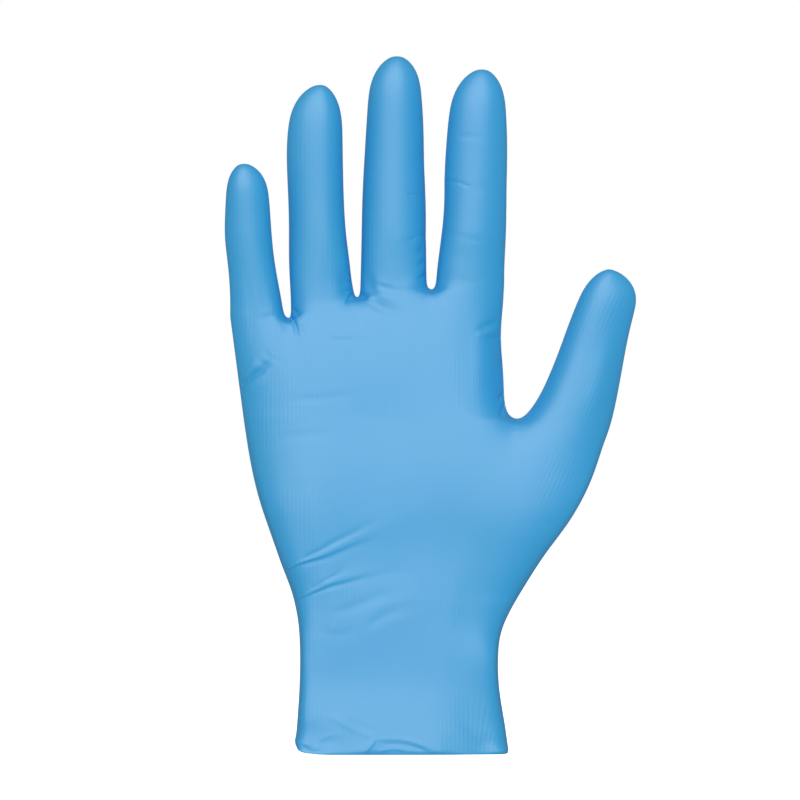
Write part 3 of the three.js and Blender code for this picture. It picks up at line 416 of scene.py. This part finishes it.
# Wrinkles across the flanks of the middle and the index finger.
FINGER_WRINKLES = (
    Fold(((-0.3, 203.7), (2.8, 203.8), (5.2, 204.2), (8.1, 205.4)),
        -0.28, 0.42, 1.2, ends=(0.4, 0.1), fineness=2),
    Fold(((3.1, 208.2), (5.2, 208.9), (7.9, 210.1)), -0.2, 0.5, 1.2, ends=(0.4, 0.1)),
    Fold(((0.3, 192.6), (3.4, 192.3), (5.8, 192.7), (8.6, 193.2)),
        -0.25, 0.42, 1.2, ends=(0.4, 0.1), fineness=2),
    Fold(((0.3, 176.9), (2.8, 177.1), (5.2, 178.1), (8.9, 179.0)),
        -0.28, 0.42, 1.2, ends=(0.4, 0.1), fineness=2),
    Fold(((3.1, 183.3), (5.8, 183.4), (8.9, 184.1)), -0.14, 0.5, 1.2, ends=(0.4, 0.1)),
    Fold(((-4.1, 216.6), (0.0, 218.0), (4.1, 218.2)), -0.08, 0.7, 1.2, ends=(0.4, 0.4), fineness=0),
    Fold(((16.8, 213.0), (23.0, 212.1), (26.8, 211.7), (30.3, 210.6)),
        -0.17, 0.5, 1.2, ends=(0.3, 0.4)),
    Fold(((14.1, 197.2), (18.6, 196.7), (22.2, 195.6), (26.1, 194.6), (30.5, 193.7), (36.4, 193.2)),
        -0.17, 0.5, 1.2, ends=(0.1, 0.3), fineness=2),
    Fold(((29.9, 200.1), (32.7, 200.3), (36.4, 200.2)), -0.14, 0.45, 1.2, ends=(0.4, 0.1)),
    Fold(((13.4, 179.6), (18.2, 178.5), (23.2, 177.4), (26.8, 177.0), (32.0, 176.9)),
        -0.14, 0.5, 1.3, ends=(0.2, 0.4)),
    Fold(((13.8, 171.9), (19.3, 170.9), (25.4, 170.1)), -0.1, 0.6, 1.3, ends=(0.2, 0.5), fineness=0),
    Fold(((30.9, 186.0), (33.7, 186.2), (36.4, 186.5)), -0.13, 0.5, 1.2, ends=(0.4, 0.1)),
    Fold(((30.9, 207.3), (33.7, 207.7), (36.1, 208.0)), -0.11, 0.5, 1.2, ends=(0.4, 0.1)),
)
# Form of the palm's thumb side, which turns away in a wide flat flank, and the thumb's crest.
FLANK_FORM = (
    Fold(((36.1, 157.8), (34.7, 146.1), (34.4, 135.8), (34.6, 125.5), (35.4, 115.2), (36.8, 106.2)),
        -2.1, 3.5, 1.0, ends=(0.45, 0.55), level=True),
    Fold(((28.2, 156.4), (26.8, 141.0), (26.8, 127.2), (29.6, 111.1)),
        0.5, 3.6, 1.0, ends=(0.45, 0.55), fineness=0, level=True),
    Fold(((73.6, 150.3), (70.1, 135.8), (67.0, 122.8), (61.9, 108.3)),
        0.9, 4.2, 1.2, ends=(0.45, 0.5), fineness=0, level=True),
)
# Shallow hollow across the front of the wrist.
WRIST_FORM = (
    Fold(((-45.4, 76.0), (-17.9, 73.9), (13.1, 73.6), (47.4, 77.4)),
        -1.2, 17.0, 1.0, ends=(0.35, 0.35), fineness=0, level=True),
)
# Plain, soft folds of the slack film on the back of the wrist.
BACK_FOLDS = (
    Fold(((-35.1, 65.0), (-26.5, 67.0), (-17.2, 71.2), (-6.2, 74.6)),
        0.65, 1.5, 2.0, ends=(0.1, 0.7), fineness=0, side=Side.BACK),
    Fold(((-33.0, 54.7), (-23.4, 56.7), (-13.8, 59.1), (-1.4, 59.8)),
        -0.59, 1.6, 1.8, ends=(0.1, 0.6), fineness=0, side=Side.BACK),
    Fold(((31.6, 56.7), (22.0, 53.3), (12.4, 51.9), (2.8, 48.5)),
        -0.59, 1.5, 2.0, ends=(0.1, 0.6), fineness=0, side=Side.BACK),
    Fold(((30.9, 43.0), (20.6, 41.6), (11.0, 38.2)),
        0.45, 1.7, 1.6, ends=(0.2, 0.6), fineness=0, side=Side.BACK),
    Fold(((-30.9, 4.5), (-21.3, 9.3), (-10.3, 10.7), (0.7, 7.6)),
        0.52, 1.4, 1.4, ends=(0.3, 0.4), fineness=0, side=Side.BACK),
    Fold(((9.6, 2.4), (17.2, 7.2), (26.1, 10.0)),
        -0.52, 1.5, 1.3, ends=(0.3, 0.4), fineness=0, side=Side.BACK),
)
ALL_FOLDS = (
    *WRIST_FOLDS,
    *HEM_FOLDS,
    *PALM_CREASES,
    *CROTCH_CREASES,
    *SIDE_FOLDS,
    *FINGER_WRINKLES,
    *FLANK_FORM,
    *WRIST_FORM,
    *BACK_FOLDS,
)

# Attribute that holds how far across the former a point of the film lies, in millimetres
FORMER_ACROSS = "former_across"


@dataclass(frozen=True)
class NitrileFinish:
    """Nitrile rubber, dipped on a finely ribbed former and chlorinated.

    It gives the eye an opaque sky blue with a broad satin gloss, a faint pebble and the former's
    fine lines, which run along the hand and along the thumb. The pebble of a real film is finer than
    a pixel of the render, and is drawn as coarse as it needs to show.

    Attributes:
        colour: Colour where the film is thick.
        thin_colour: Colour where it is thin.
        roughness: Roughness of its face.
        refraction: Index of refraction of nitrile rubber.
        patch_size: Size of the patches of thick and thin film.
        patch_detail: Levels of detail in those patches.
        grain: Weight of each finer level of the patches and of the pebble.
        pebble_size: Size of the pebble.
        pebble_detail: Levels of detail in the pebble.
        pebble_depth: Depth of the pebble.
        line_spacing: Spacing of the former's lines in millimetres.
        line_depth: Depth of those lines.
        line_patch_size: Size of the patches where the lines show.
        line_patch_detail: Levels of detail in those patches.
        line_patch_range: Levels of their noise at which the lines are faintest and clearest.
        faintest: Share of their depth that the lines keep between the patches.
    """

    colour: str = "2a9edf"
    thin_colour: str = "25a1d6"
    roughness: float = 0.5
    refraction: float = 1.52
    patch_size: float = 30 * MM
    patch_detail: float = 4.0
    grain: float = 0.6
    pebble_size: float = 1.1 * MM
    pebble_detail: float = 2.0
    pebble_depth: float = 0.017 * MM
    line_spacing: float = 1.45
    line_depth: float = 0.012 * MM
    line_patch_size: float = 22 * MM
    line_patch_detail: float = 1.0
    line_patch_range: tuple[float, float] = (0.4, 0.62)
    faintest: float = 0.15

    def material(self) -> bpy.types.Material:
        """Builds the material.

        Returns:
            The finished material.
        """
        made = bpy.data.materials.new("dipped_nitrile_rubber")
        made.use_nodes = True
        tree = made.node_tree
        tree.nodes.clear()
        spot = add_node(tree, "ShaderNodeTexCoord").outputs["Object"]
        patches = add_node(
            tree, "ShaderNodeTexNoise",
            {"Scale": 1 / self.patch_size, "Detail": self.patch_detail, "Roughness": self.grain},
            Vector=spot,
        ).outputs["Fac"]
        colour = add_node(
            tree, "ShaderNodeMix",
            {"data_type": "RGBA", 6: srgb(self.colour), 7: srgb(self.thin_colour)},
        )
        tree.links.new(patches, colour.inputs[0])
        shader = add_node(
            tree, "ShaderNodeBsdfPrincipled",
            {"Roughness": self.roughness, "IOR": self.refraction, "Metallic": 0.0},
            Base_Color=colour.outputs[2], Normal=self.relief(tree, spot),
        )
        add_node(tree, "ShaderNodeOutputMaterial", Surface=shader.outputs["BSDF"])
        return made

    def relief(self, tree: bpy.types.NodeTree, spot: bpy.types.NodeSocket) -> bpy.types.NodeSocket:
        """Adds the film's fine relief, which is too small for its mesh.

        Args:
            tree: The material's nodes.
            spot: Object coordinates.

        Returns:
            The normal with the pebble and the former's lines.
        """
        across = add_node(tree, "ShaderNodeAttribute", {"attribute_name": FORMER_ACROSS}).outputs["Fac"]
        turn = add_node(
            tree, "ShaderNodeMath", {"operation": "MULTIPLY", 1: 2 * math.pi / self.line_spacing},
        )
        tree.links.new(across, turn.inputs[0])
        wave = add_node(tree, "ShaderNodeMath", {"operation": "SINE"})
        tree.links.new(turn.outputs[0], wave.inputs[0])
        worn = add_node(
            tree, "ShaderNodeTexNoise",
            {"Scale": 1 / self.line_patch_size, "Detail": self.line_patch_detail}, Vector=spot,
        ).outputs["Fac"]
        low, high = self.line_patch_range
        seen = add_node(
            tree, "ShaderNodeMapRange",
            {"From Min": low, "From Max": high, "To Min": self.faintest, "To Max": 1.0}, Value=worn,
        )
        lines = add_node(tree, "ShaderNodeMath", {"operation": "MULTIPLY"})
        tree.links.new(wave.outputs[0], lines.inputs[0])
        tree.links.new(seen.outputs[0], lines.inputs[1])
        ribbed = add_node(
            tree, "ShaderNodeBump", {"Strength": 1.0, "Distance": self.line_depth},
            Height=lines.outputs[0],
        )
        pebble = add_node(
            tree, "ShaderNodeTexNoise",
            {"Scale": 1 / self.pebble_size, "Detail": self.pebble_detail, "Roughness": self.grain},
            Vector=spot,
        ).outputs["Fac"]
        return add_node(
            tree, "ShaderNodeBump", {"Strength": 1.0, "Distance": self.pebble_depth},
            Height=pebble, Normal=ribbed.outputs[0],
        ).outputs["Normal"]


@dataclass(frozen=True)
class PaperFinish:
    """White paper, matt, which lets the light through from below.

    It gives the eye an even, pale floor with hardly a shadow.

    Attributes:
        colour: Colour of the paper.
        roughness: Roughness of its face.
        glow_colour: Colour of the light that it adds.
        glow: Strength of that light.
    """

    colour: str = "f7f7f7"
    roughness: float = 0.9
    glow_colour: str = "ffffff"
    glow: float = 0.6

    def material(self) -> bpy.types.Material:
        """Builds the material, which is clear from below.

        Returns:
            The finished material.
        """
        made = bpy.data.materials.new("white_paper")
        made.use_nodes = True
        tree = made.node_tree
        tree.nodes.clear()
        face = add_node(
            tree, "ShaderNodeBsdfPrincipled",
            {"Base Color": srgb(self.colour), "Roughness": self.roughness,
             "Emission Color": srgb(self.glow_colour), "Emission Strength": self.glow},
        )
        below = add_node(tree, "ShaderNodeBsdfTransparent")
        side = add_node(tree, "ShaderNodeNewGeometry").outputs["Backfacing"]
        both = add_node(tree, "ShaderNodeMixShader", Fac=side)
        tree.links.new(face.outputs[0], both.inputs[1])
        tree.links.new(below.outputs[0], both.inputs[2])
        add_node(tree, "ShaderNodeOutputMaterial", Surface=both.outputs[0])
        return made


@dataclass
class GloveFilm:
    """The glove's film: outer skin, folds, inner skin and hem.

    Attributes:
        nodes: Frame nodes that together hold the film's form.
        weld: How far apart points are that the frame's loose triangles share.
        slot: Gap between those nodes, with a little to spare.
        start: How far from a face a ray starts.
        opposite: How squarely two rim faces face each other.
        hem_slope: How far down a rim face of the hem looks.
        hem_zone: Height of the hem's zone.
        hem_slimming: How far the bead of the hem is drawn in.
        smooth_zones: Heights between which the palm's skin is stretched smooth: wrist, crotches.
        smooth_steps: How far each pass of the stretching stays inside those zones.
        smooth_share: How far one round of a pass moves a point to the middle of its neighbours.
        smooth_rounds: Rounds of each pass.
        palm_slope: How squarely a face that is stretched looks to the front.
        slack_zone: Heights over which the flattened, slack wrist passes into the filled palm.
        slack_roundness: Powers of the slack section's curve across, in front and behind.
        form_roundness: Power of the curve across that the frame's section has.
        widest: Largest share of the half width at which these curves are read.
        slack_swell: Most that the slack section may be deeper than the frame's.
        slack_depth: Depth of the slack cuff, as a share of the frame's.
        slices: Number of heights at which the wrist's width is measured.
        slice_reach: How far above and below each of them counts.
        hem_lift: How far the slack film is drawn up at the hem.
        hem_lift_zone: Height at which that ends.
        corner: Place (x, z) of the hem's rounded corner on the little finger's side.
        corner_fill: How far that corner is drawn out and down.
        corner_reach: How far around it that reaches.
        folds: Every fold of the film.
        divide_reach: Half widths beside a fold's line over which the mesh is divided.
        fine_share: Share of a fold's line that is divided more than once.
        divide_slope: How far to the back a face may look that is divided.
        facing: How far a point looks to a fold's side where the fold starts and is whole.
        level_facing: The same for the folds that keep the outline.
        thumb_root: Place (x, z) from which the lines on the thumb are laid out, in millimetres.
        thumb_lean: How far those lines lean with the thumb, in degrees.
        thumb_zone: Places x between which the hand's lines pass into the thumb's, in millimetres.
        thumb_top: Height under which the thumb lies, in millimetres.
        finish: Finish of the film.
    """

    nodes: tuple[str, ...] = ("hand_film", "thumb_film", "little_finger_film")
    weld: float = 0.001 * MM
    slot: float = 0.4 * MM
    start: float = 0.01 * MM
    opposite: float = -0.9
    hem_slope: float = -0.55
    hem_zone: float = 6 * MM
    hem_slimming: float = 0.5 * MM
    smooth_zones: tuple[tuple[float, float], ...] = ((30 * MM, 106 * MM), (126 * MM, 176 * MM))
    smooth_steps: tuple[float, ...] = (0.0, 4 * MM, 8 * MM, 12 * MM)
    smooth_share: float = 0.5
    smooth_rounds: int = 4
    palm_slope: float = -0.5
    slack_zone: tuple[float, float] = (35 * MM, 125 * MM)
    slack_roundness: tuple[float, float] = (18.0, 3.2)
    form_roundness: float = 2.2
    widest: float = 0.999
    slack_swell: float = 3.0
    slack_depth: float = 0.93
    slices: int = 32
    slice_reach: float = 3 * MM
    hem_lift: float = 0.9 * MM
    hem_lift_zone: float = 25 * MM
    corner: tuple[float, float] = (-35.5 * MM, 2.6 * MM)
    corner_fill: float = 0.7 * MM
    corner_reach: float = 2.6 * MM
    folds: tuple[Fold, ...] = ALL_FOLDS
    divide_reach: float = 2.2
    fine_share: float = 0.75
    divide_slope: float = 0.1
    facing: tuple[float, float] = (-0.1, 0.25)
    level_facing: tuple[float, float] = (0.0, 0.25)
    thumb_root: tuple[float, float] = (40.0, 100.0)
    thumb_lean: float = 24.0
    thumb_zone: tuple[float, float] = (20.0, 42.0)
    thumb_top: float = 165.0
    finish: NitrileFinish = field(default_factory=NitrileFinish)

    def build(self) -> bpy.types.Object:
        """Models the film and dresses it.

        Returns:
            The finished piece.
        """
        outer, inner = self.parted_skins(self.joined_form())
        self.slim_hem(outer)
        self.refine(outer)
        self.stretch(outer)
        finest = max(fold.fineness for fold in self.folds)
        for fineness in range(1, finest + 1):
            self.divide_at_folds(outer, fineness)
        self.refine(outer)
        self.refine(inner)
        for skin in (outer, inner):
            self.flatten(skin)
        self.fold(outer, 1)
        self.fold(inner, -1)
        film = self.closed(outer, inner)
        self.add_former_lines(film)
        film.data.materials.clear()
        film.data.materials.append(self.finish.material())
        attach(film, "root")
        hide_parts(*self.nodes)
        return film

    def joined_form(self) -> bpy.types.Object:
        """Joins copies of the frame's nodes, with the slots between them closed.

        Returns:
            An outer and an inner skin, both open at the hem.
        """
        bpy.ops.object.select_all(action="DESELECT")
        copies = []
        for name in self.nodes:
            mesh = frame["nodes"][name].data.copy()
            mesh.materials.clear()
            copy = bpy.data.objects.new(f"{name}_form", mesh)
            bpy.context.scene.collection.objects.link(copy)
            copy.select_set(True)
            copies.append(copy)
        form = copies[0]
        bpy.context.view_layer.objects.active = form
        bpy.ops.object.join()
        only(form)
        bpy.ops.object.mode_set(mode="EDIT")
        bpy.ops.mesh.customdata_custom_splitnormals_clear()
        bpy.ops.mesh.select_all(action="SELECT")
        bpy.ops.mesh.remove_doubles(threshold=self.weld)
        bpy.ops.object.mode_set(mode="OBJECT")
        select_faces(form, self.rims(form))
        bpy.ops.object.mode_set(mode="EDIT")
        bpy.ops.mesh.select_mode(type="FACE")
        bpy.ops.mesh.delete(type="FACE")
        select_rims()
        bpy.ops.mesh.remove_doubles(threshold=self.slot)
        bpy.ops.object.mode_set(mode="OBJECT")
        return form

    def rims(self, form: bpy.types.Object) -> np.ndarray:
        """Finds the faces that close the film's edges.

        Args:
            form: The joined copies.

        Returns:
            A mark for each face: those that face each other across a slot, and those at the hem.
        """
        sheets = BVHTree.FromPolygons(
            [v.co for v in form.data.vertices], [tuple(p.vertices) for p in form.data.polygons]
        )
        centres, normals = face_data(form)
        marks = (normals[:, 2] < self.hem_slope) & (centres[:, 2] < self.hem_zone)
        for i, (centre, normal) in enumerate(zip(centres, normals)):
            start = Vector(centre + normal * self.start)
            _, met, _, _ = sheets.ray_cast(start, Vector(normal), self.slot)
            marks[i] |= met is not None and met.dot(Vector(normal)) < self.opposite
        return marks

    def parted_skins(self, form: bpy.types.Object) -> tuple[bpy.types.Object, bpy.types.Object]:
        """Parts the two skins and joins their triangles to quads.

        Args:
            form: Both skins, open at the hem.

        Returns:
            The outer skin and the inner skin, open at the hem.
        """
        only(form)
        bpy.ops.object.mode_set(mode="EDIT")
        bpy.ops.mesh.select_all(action="SELECT")
        bpy.ops.mesh.tris_convert_to_quads(face_threshold=math.pi, shape_threshold=math.pi)
        bpy.ops.mesh.separate(type="LOOSE")
        bpy.ops.object.mode_set(mode="OBJECT")
        outer, inner = sorted(bpy.context.selected_objects, key=lambda skin: -skin.dimensions.x)
        return outer, inner

    def slim_hem(self, skin: bpy.types.Object) -> None:
        """Draws in the bead that runs round the hem.

        Args:
            skin: The outer skin, open at the hem.
        """
        only(skin)
        bpy.ops.object.mode_set(mode="EDIT")
        select_rims()
        bpy.ops.mesh.select_more()
        bpy.ops.transform.shrink_fatten(value=-self.hem_slimming)
        bpy.ops.object.mode_set(mode="OBJECT")

    def refine(self, skin: bpy.types.Object) -> None:
        """Rounds a skin by one level of subdivision.

        Args:
            skin: The skin.
        """
        only(skin)
        rounding = skin.modifiers.new("rounding", "SUBSURF")
        rounding.levels = rounding.render_levels = 1
        bpy.ops.object.modifier_apply(modifier=rounding.name)

    def stretch(self, skin: bpy.types.Object) -> None:
        """Evens out the depth of the palm's skin at the wrist and where the fingers part.

        Args:
            skin: The outer skin.
        """
        centres, normals = face_data(skin)
        only(skin)
        for step in self.smooth_steps:
            inside = np.zeros(len(centres), bool)
            for low, high in self.smooth_zones:
                inside |= (centres[:, 2] > low + step) & (centres[:, 2] < high - step)
            select_faces(skin, inside & (normals[:, 1] < self.palm_slope))
            bpy.ops.object.mode_set(mode="EDIT")
            bpy.ops.mesh.vertices_smooth(factor=self.smooth_share, repeat=self.smooth_rounds,
                                         xaxis=False, yaxis=True, zaxis=False)
            bpy.ops.object.mode_set(mode="OBJECT")

    def flatten(self, skin: bpy.types.Object) -> None:
        """Flattens the cuff and the wrist, where no hand fills them, and draws up the hem.

        Args:
            skin: The skin.
        """
        places = places_of(skin)
        places[:, 1] *= self.slack_share(places)
        places[:, 2] += self.hem_lift * (1 - smooth(places[:, 2], 0, self.hem_lift_zone))
        gap = np.hypot(places[:, 0] - self.corner[0], places[:, 2] - self.corner[1])
        push = self.corner_fill * np.exp(-((gap / self.corner_reach) ** 2))
        places[:, 0] -= push
        places[:, 2] -= push
        set_places(skin, places)

    def slack_share(self, places: np.ndarray) -> np.ndarray:
        """Compares the depth of the slack film with that of the frame's own section.

        Args:
            places: Vertex places of a skin, one row each.

        Returns:
            The share by which each place's depth changes, which is 1 above the slack zone.
        """
        low, high = self.slack_zone
        levels = np.linspace(0, high, self.slices)
        spans = [places[abs(places[:, 2] - level) < self.slice_reach, 0] for level in levels]
        left = np.interp(places[:, 2], levels, [span.min() for span in spans])
        right = np.interp(places[:, 2], levels, [span.max() for span in spans])
        across = np.clip(abs(2 * places[:, 0] - left - right) / (right - left), 0, self.widest)
        powers = np.where(places[:, 1] < 0, *self.slack_roundness)
        formed = (1 - across**self.form_roundness) ** (1 / self.form_roundness)
        slack = (1 - across**powers) ** (1 / powers)
        share = 1 - smooth(places[:, 2], low, high)
        swell = np.minimum(slack / formed, self.slack_swell) * self.slack_depth
        return 1 + share * (swell - 1)

    def divide_at_folds(self, skin: bpy.types.Object, fineness: int) -> None:
        """Divides the mesh along the folds that are at least so fine.

        Args:
            skin: The outer skin.
            fineness: The least fineness that counts.
        """
        centres, normals = face_data(skin)
        seen = centres[:, [0, 2]] / MM
        wanted = np.zeros(len(centres), bool)
        for fold in self.folds:
            if fold.fineness >= fineness:
                near, _, share = fold.measured(seen, self.divide_reach)
                kept = near[share < self.fine_share] if fineness > 1 else near
                wanted[kept] = True
        wanted &= normals[:, 1] < self.divide_slope
        select_faces(skin, wanted)
        only(skin)
        bpy.ops.object.mode_set(mode="EDIT")
        bpy.ops.mesh.subdivide(number_cuts=1, smoothness=0)
        bpy.ops.object.mode_set(mode="OBJECT")

    def fold(self, skin: bpy.types.Object, outward: int) -> None:
        """Lifts and sinks a skin along its folds.

        Args:
            skin: The skin.
            outward: 1 where its normals point out of the glove, -1 where they point in.
        """
        places, normals = places_of(skin), normals_of(skin) * outward
        seen = places[:, [0, 2]] / MM
        moved = places.copy()
        for fold in self.folds:
            side = fold.side.value
            limits = self.level_facing if fold.level else self.facing
            ways = np.array((0, side, 0)) if fold.level else normals
            lift = fold.rise(seen) * smooth(side * normals[:, 1], *limits)
            moved += ways * (lift * MM)[:, None]
        set_places(skin, moved)

    def closed(self, outer: bpy.types.Object, inner: bpy.types.Object) -> bpy.types.Object:
        """Joins the two skins by a lip along the hem.

        Args:
            outer: The outer skin.
            inner: The inner skin.

        Returns:
            The closed film.
        """
        only(outer)
        inner.select_set(True)
        bpy.ops.object.join()
        bpy.ops.object.mode_set(mode="EDIT")
        bpy.ops.mesh.select_mode(type="EDGE")
        bpy.ops.mesh.select_all(action="DESELECT")
        bpy.ops.mesh.select_non_manifold(extend=False, use_wire=False, use_boundary=True,
                                         use_multi_face=False, use_non_contiguous=False,
                                         use_verts=False)
        bpy.ops.mesh.bridge_edge_loops()
        bpy.ops.object.mode_set(mode="OBJECT")
        bpy.ops.object.shade_smooth()
        outer.name = outer.data.name = "nitrile_glove_film"
        return outer

    def add_former_lines(self, film: bpy.types.Object) -> None:
        """Stores how far across the former each point lies, in millimetres.

        Args:
            film: The closed film.
        """
        x, _, z = (places_of(film) / MM).T
        lean = math.radians(self.thumb_lean)
        root_x, root_z = self.thumb_root
        across_thumb = (x - root_x) * math.cos(lean) - (z - root_z) * math.sin(lean)
        share = smooth(x, *self.thumb_zone) * (z < self.thumb_top)
        across = film.data.attributes.new(FORMER_ACROSS, "FLOAT", "POINT")
        across.data.foreach_set("value", x + share * (across_thumb - x))


@dataclass(frozen=True)
class Softbox:
    """One round softbox that faces the glove.

    Attributes:
        name: Name of the light.
        place: Where it stands.
        size: Its diameter.
        power: Its power in watts.
        mirrored: Whether it shows only as gloss on the film, or else only as plain light.
    """

    name: str
    place: tuple[float, float, float]
    size: float
    power: float
    mirrored: bool


# Plain light and gloss come from softboxes of their own, the back's only plain.
SOFTBOXES = (
    Softbox("key", (0.15, -2.4, 1.0), 0.9, 22.0, mirrored=False),
    Softbox("gloss", (-0.45, -2.4, 1.2), 4.2, 216.0, mirrored=True),
    Softbox("top_gloss", (-0.1, -1.2, 3.1), 2.0, 24.0, mirrored=True),
    Softbox("back_key", (-1.0, 2.4, 1.2), 0.9, 30.0, mirrored=False),
)


@dataclass(frozen=True)
class Studio:
    """Pale floor, soft light and the camera.

    Attributes:
        frame_width: Width of the picture at the glove, from 800 pixels at 0.34384 mm each.
        centre: Middle of the picture at the glove.
        distance: From the camera to the glove.
        sensor: Width of the camera's sensor in millimetres.
        floor_drop: How far the floor lies below the hem.
        floor_size: Half width of the floor.
        fill: Even light from all sides.
        mirrored_fill: What the film mirrors of that fill.
        white: Colour of the fill and of the background.
        paper: Finish of the floor.
        softboxes: The lights.
    """

    frame_width: float = 275.07 * MM
    centre: tuple[float, float, float] = (-0.69 * MM, 0.0, 122.06 * MM)
    distance: float = 3.0
    sensor: float = 36.0
    floor_drop: float = 0.08
    floor_size: float = 9.0
    fill: float = 0.67
    mirrored_fill: float = 0.1
    white: str = "ffffff"
    paper: PaperFinish = field(default_factory=PaperFinish)
    softboxes: tuple[Softbox, ...] = SOFTBOXES

    def build(self) -> None:
        """Sets up the floor, the light and the camera."""
        self.place_camera()
        self.lay_floor()
        self.surround()
        for box in self.softboxes:
            self.hang(box)
        bpy.context.scene.view_settings.view_transform = "Standard"

    def place_camera(self) -> None:
        """Puts the camera level with the palm, straight in front of it."""
        lens = bpy.data.cameras.new("camera")
        lens.lens = self.sensor * self.distance / self.frame_width
        lens.sensor_width = self.sensor
        camera = bpy.data.objects.new("camera", lens)
        x, y, z = self.centre
        camera.location = (x, y - self.distance, z)
        camera.rotation_euler = (math.pi / 2, 0, 0)
        bpy.context.scene.collection.objects.link(camera)
        bpy.context.scene.camera = camera

    def lay_floor(self) -> None:
        """Lays the floor, which doesn't hide the glove from below."""
        bpy.ops.object.select_all(action="DESELECT")
        bpy.ops.mesh.primitive_plane_add(size=2 * self.floor_size, location=(0, 0, -self.floor_drop))
        floor = bpy.context.object
        floor.name = "floor"
        floor.visible_diffuse = floor.visible_glossy = False
        floor.data.materials.append(self.paper.material())

    def surround(self) -> None:
        """Surrounds the glove with an even fill, less of it mirrored, on a white background."""
        world = bpy.data.worlds.new("studio")
        world.use_nodes = True
        world.cycles.sampling_method = "NONE"
        tree = world.node_tree
        tree.nodes.clear()
        rays = add_node(tree, "ShaderNodeLightPath")
        level = add_node(tree, "ShaderNodeMix", {"data_type": "FLOAT", 2: self.fill, 3: self.mirrored_fill})
        tree.links.new(rays.outputs["Is Glossy Ray"], level.inputs[0])
        colour = srgb(self.white)
        soft = add_node(tree, "ShaderNodeBackground", {"Color": colour}, Strength=level.outputs[0])
        white = add_node(tree, "ShaderNodeBackground", {"Color": colour, "Strength": 1.0})
        both = add_node(tree, "ShaderNodeMixShader", Fac=rays.outputs["Is Camera Ray"])
        tree.links.new(soft.outputs[0], both.inputs[1])
        tree.links.new(white.outputs[0], both.inputs[2])
        add_node(tree, "ShaderNodeOutputWorld", Surface=both.outputs[0])
        bpy.context.scene.world = world

    def hang(self, box: Softbox) -> None:
        """Adds one softbox and turns it to the glove.

        Args:
            box: The softbox.
        """
        lamp = bpy.data.lights.new(box.name, "AREA")
        lamp.shape, lamp.size, lamp.energy = "DISK", box.size, box.power
        lamp.cycles.use_multiple_importance_sampling = False
        light = bpy.data.objects.new(box.name, lamp)
        light.location = box.place
        aim = Vector(self.centre) - light.location
        light.rotation_euler = aim.to_track_quat("-Z", "Y").to_euler()
        light.visible_camera = False
        light.visible_glossy, light.visible_diffuse = box.mirrored, not box.mirrored
        bpy.context.scene.collection.objects.link(light)


def main() -> None:
    """Builds the film and the studio, and reports each piece."""
    logging.basicConfig(level=logging.INFO, format="%(message)s")
    Studio().build()
    film = GloveFilm().build()
    log.info("%s: %d faces", film.name, len(film.data.polygons))


if __name__ == "__main__":
    main()
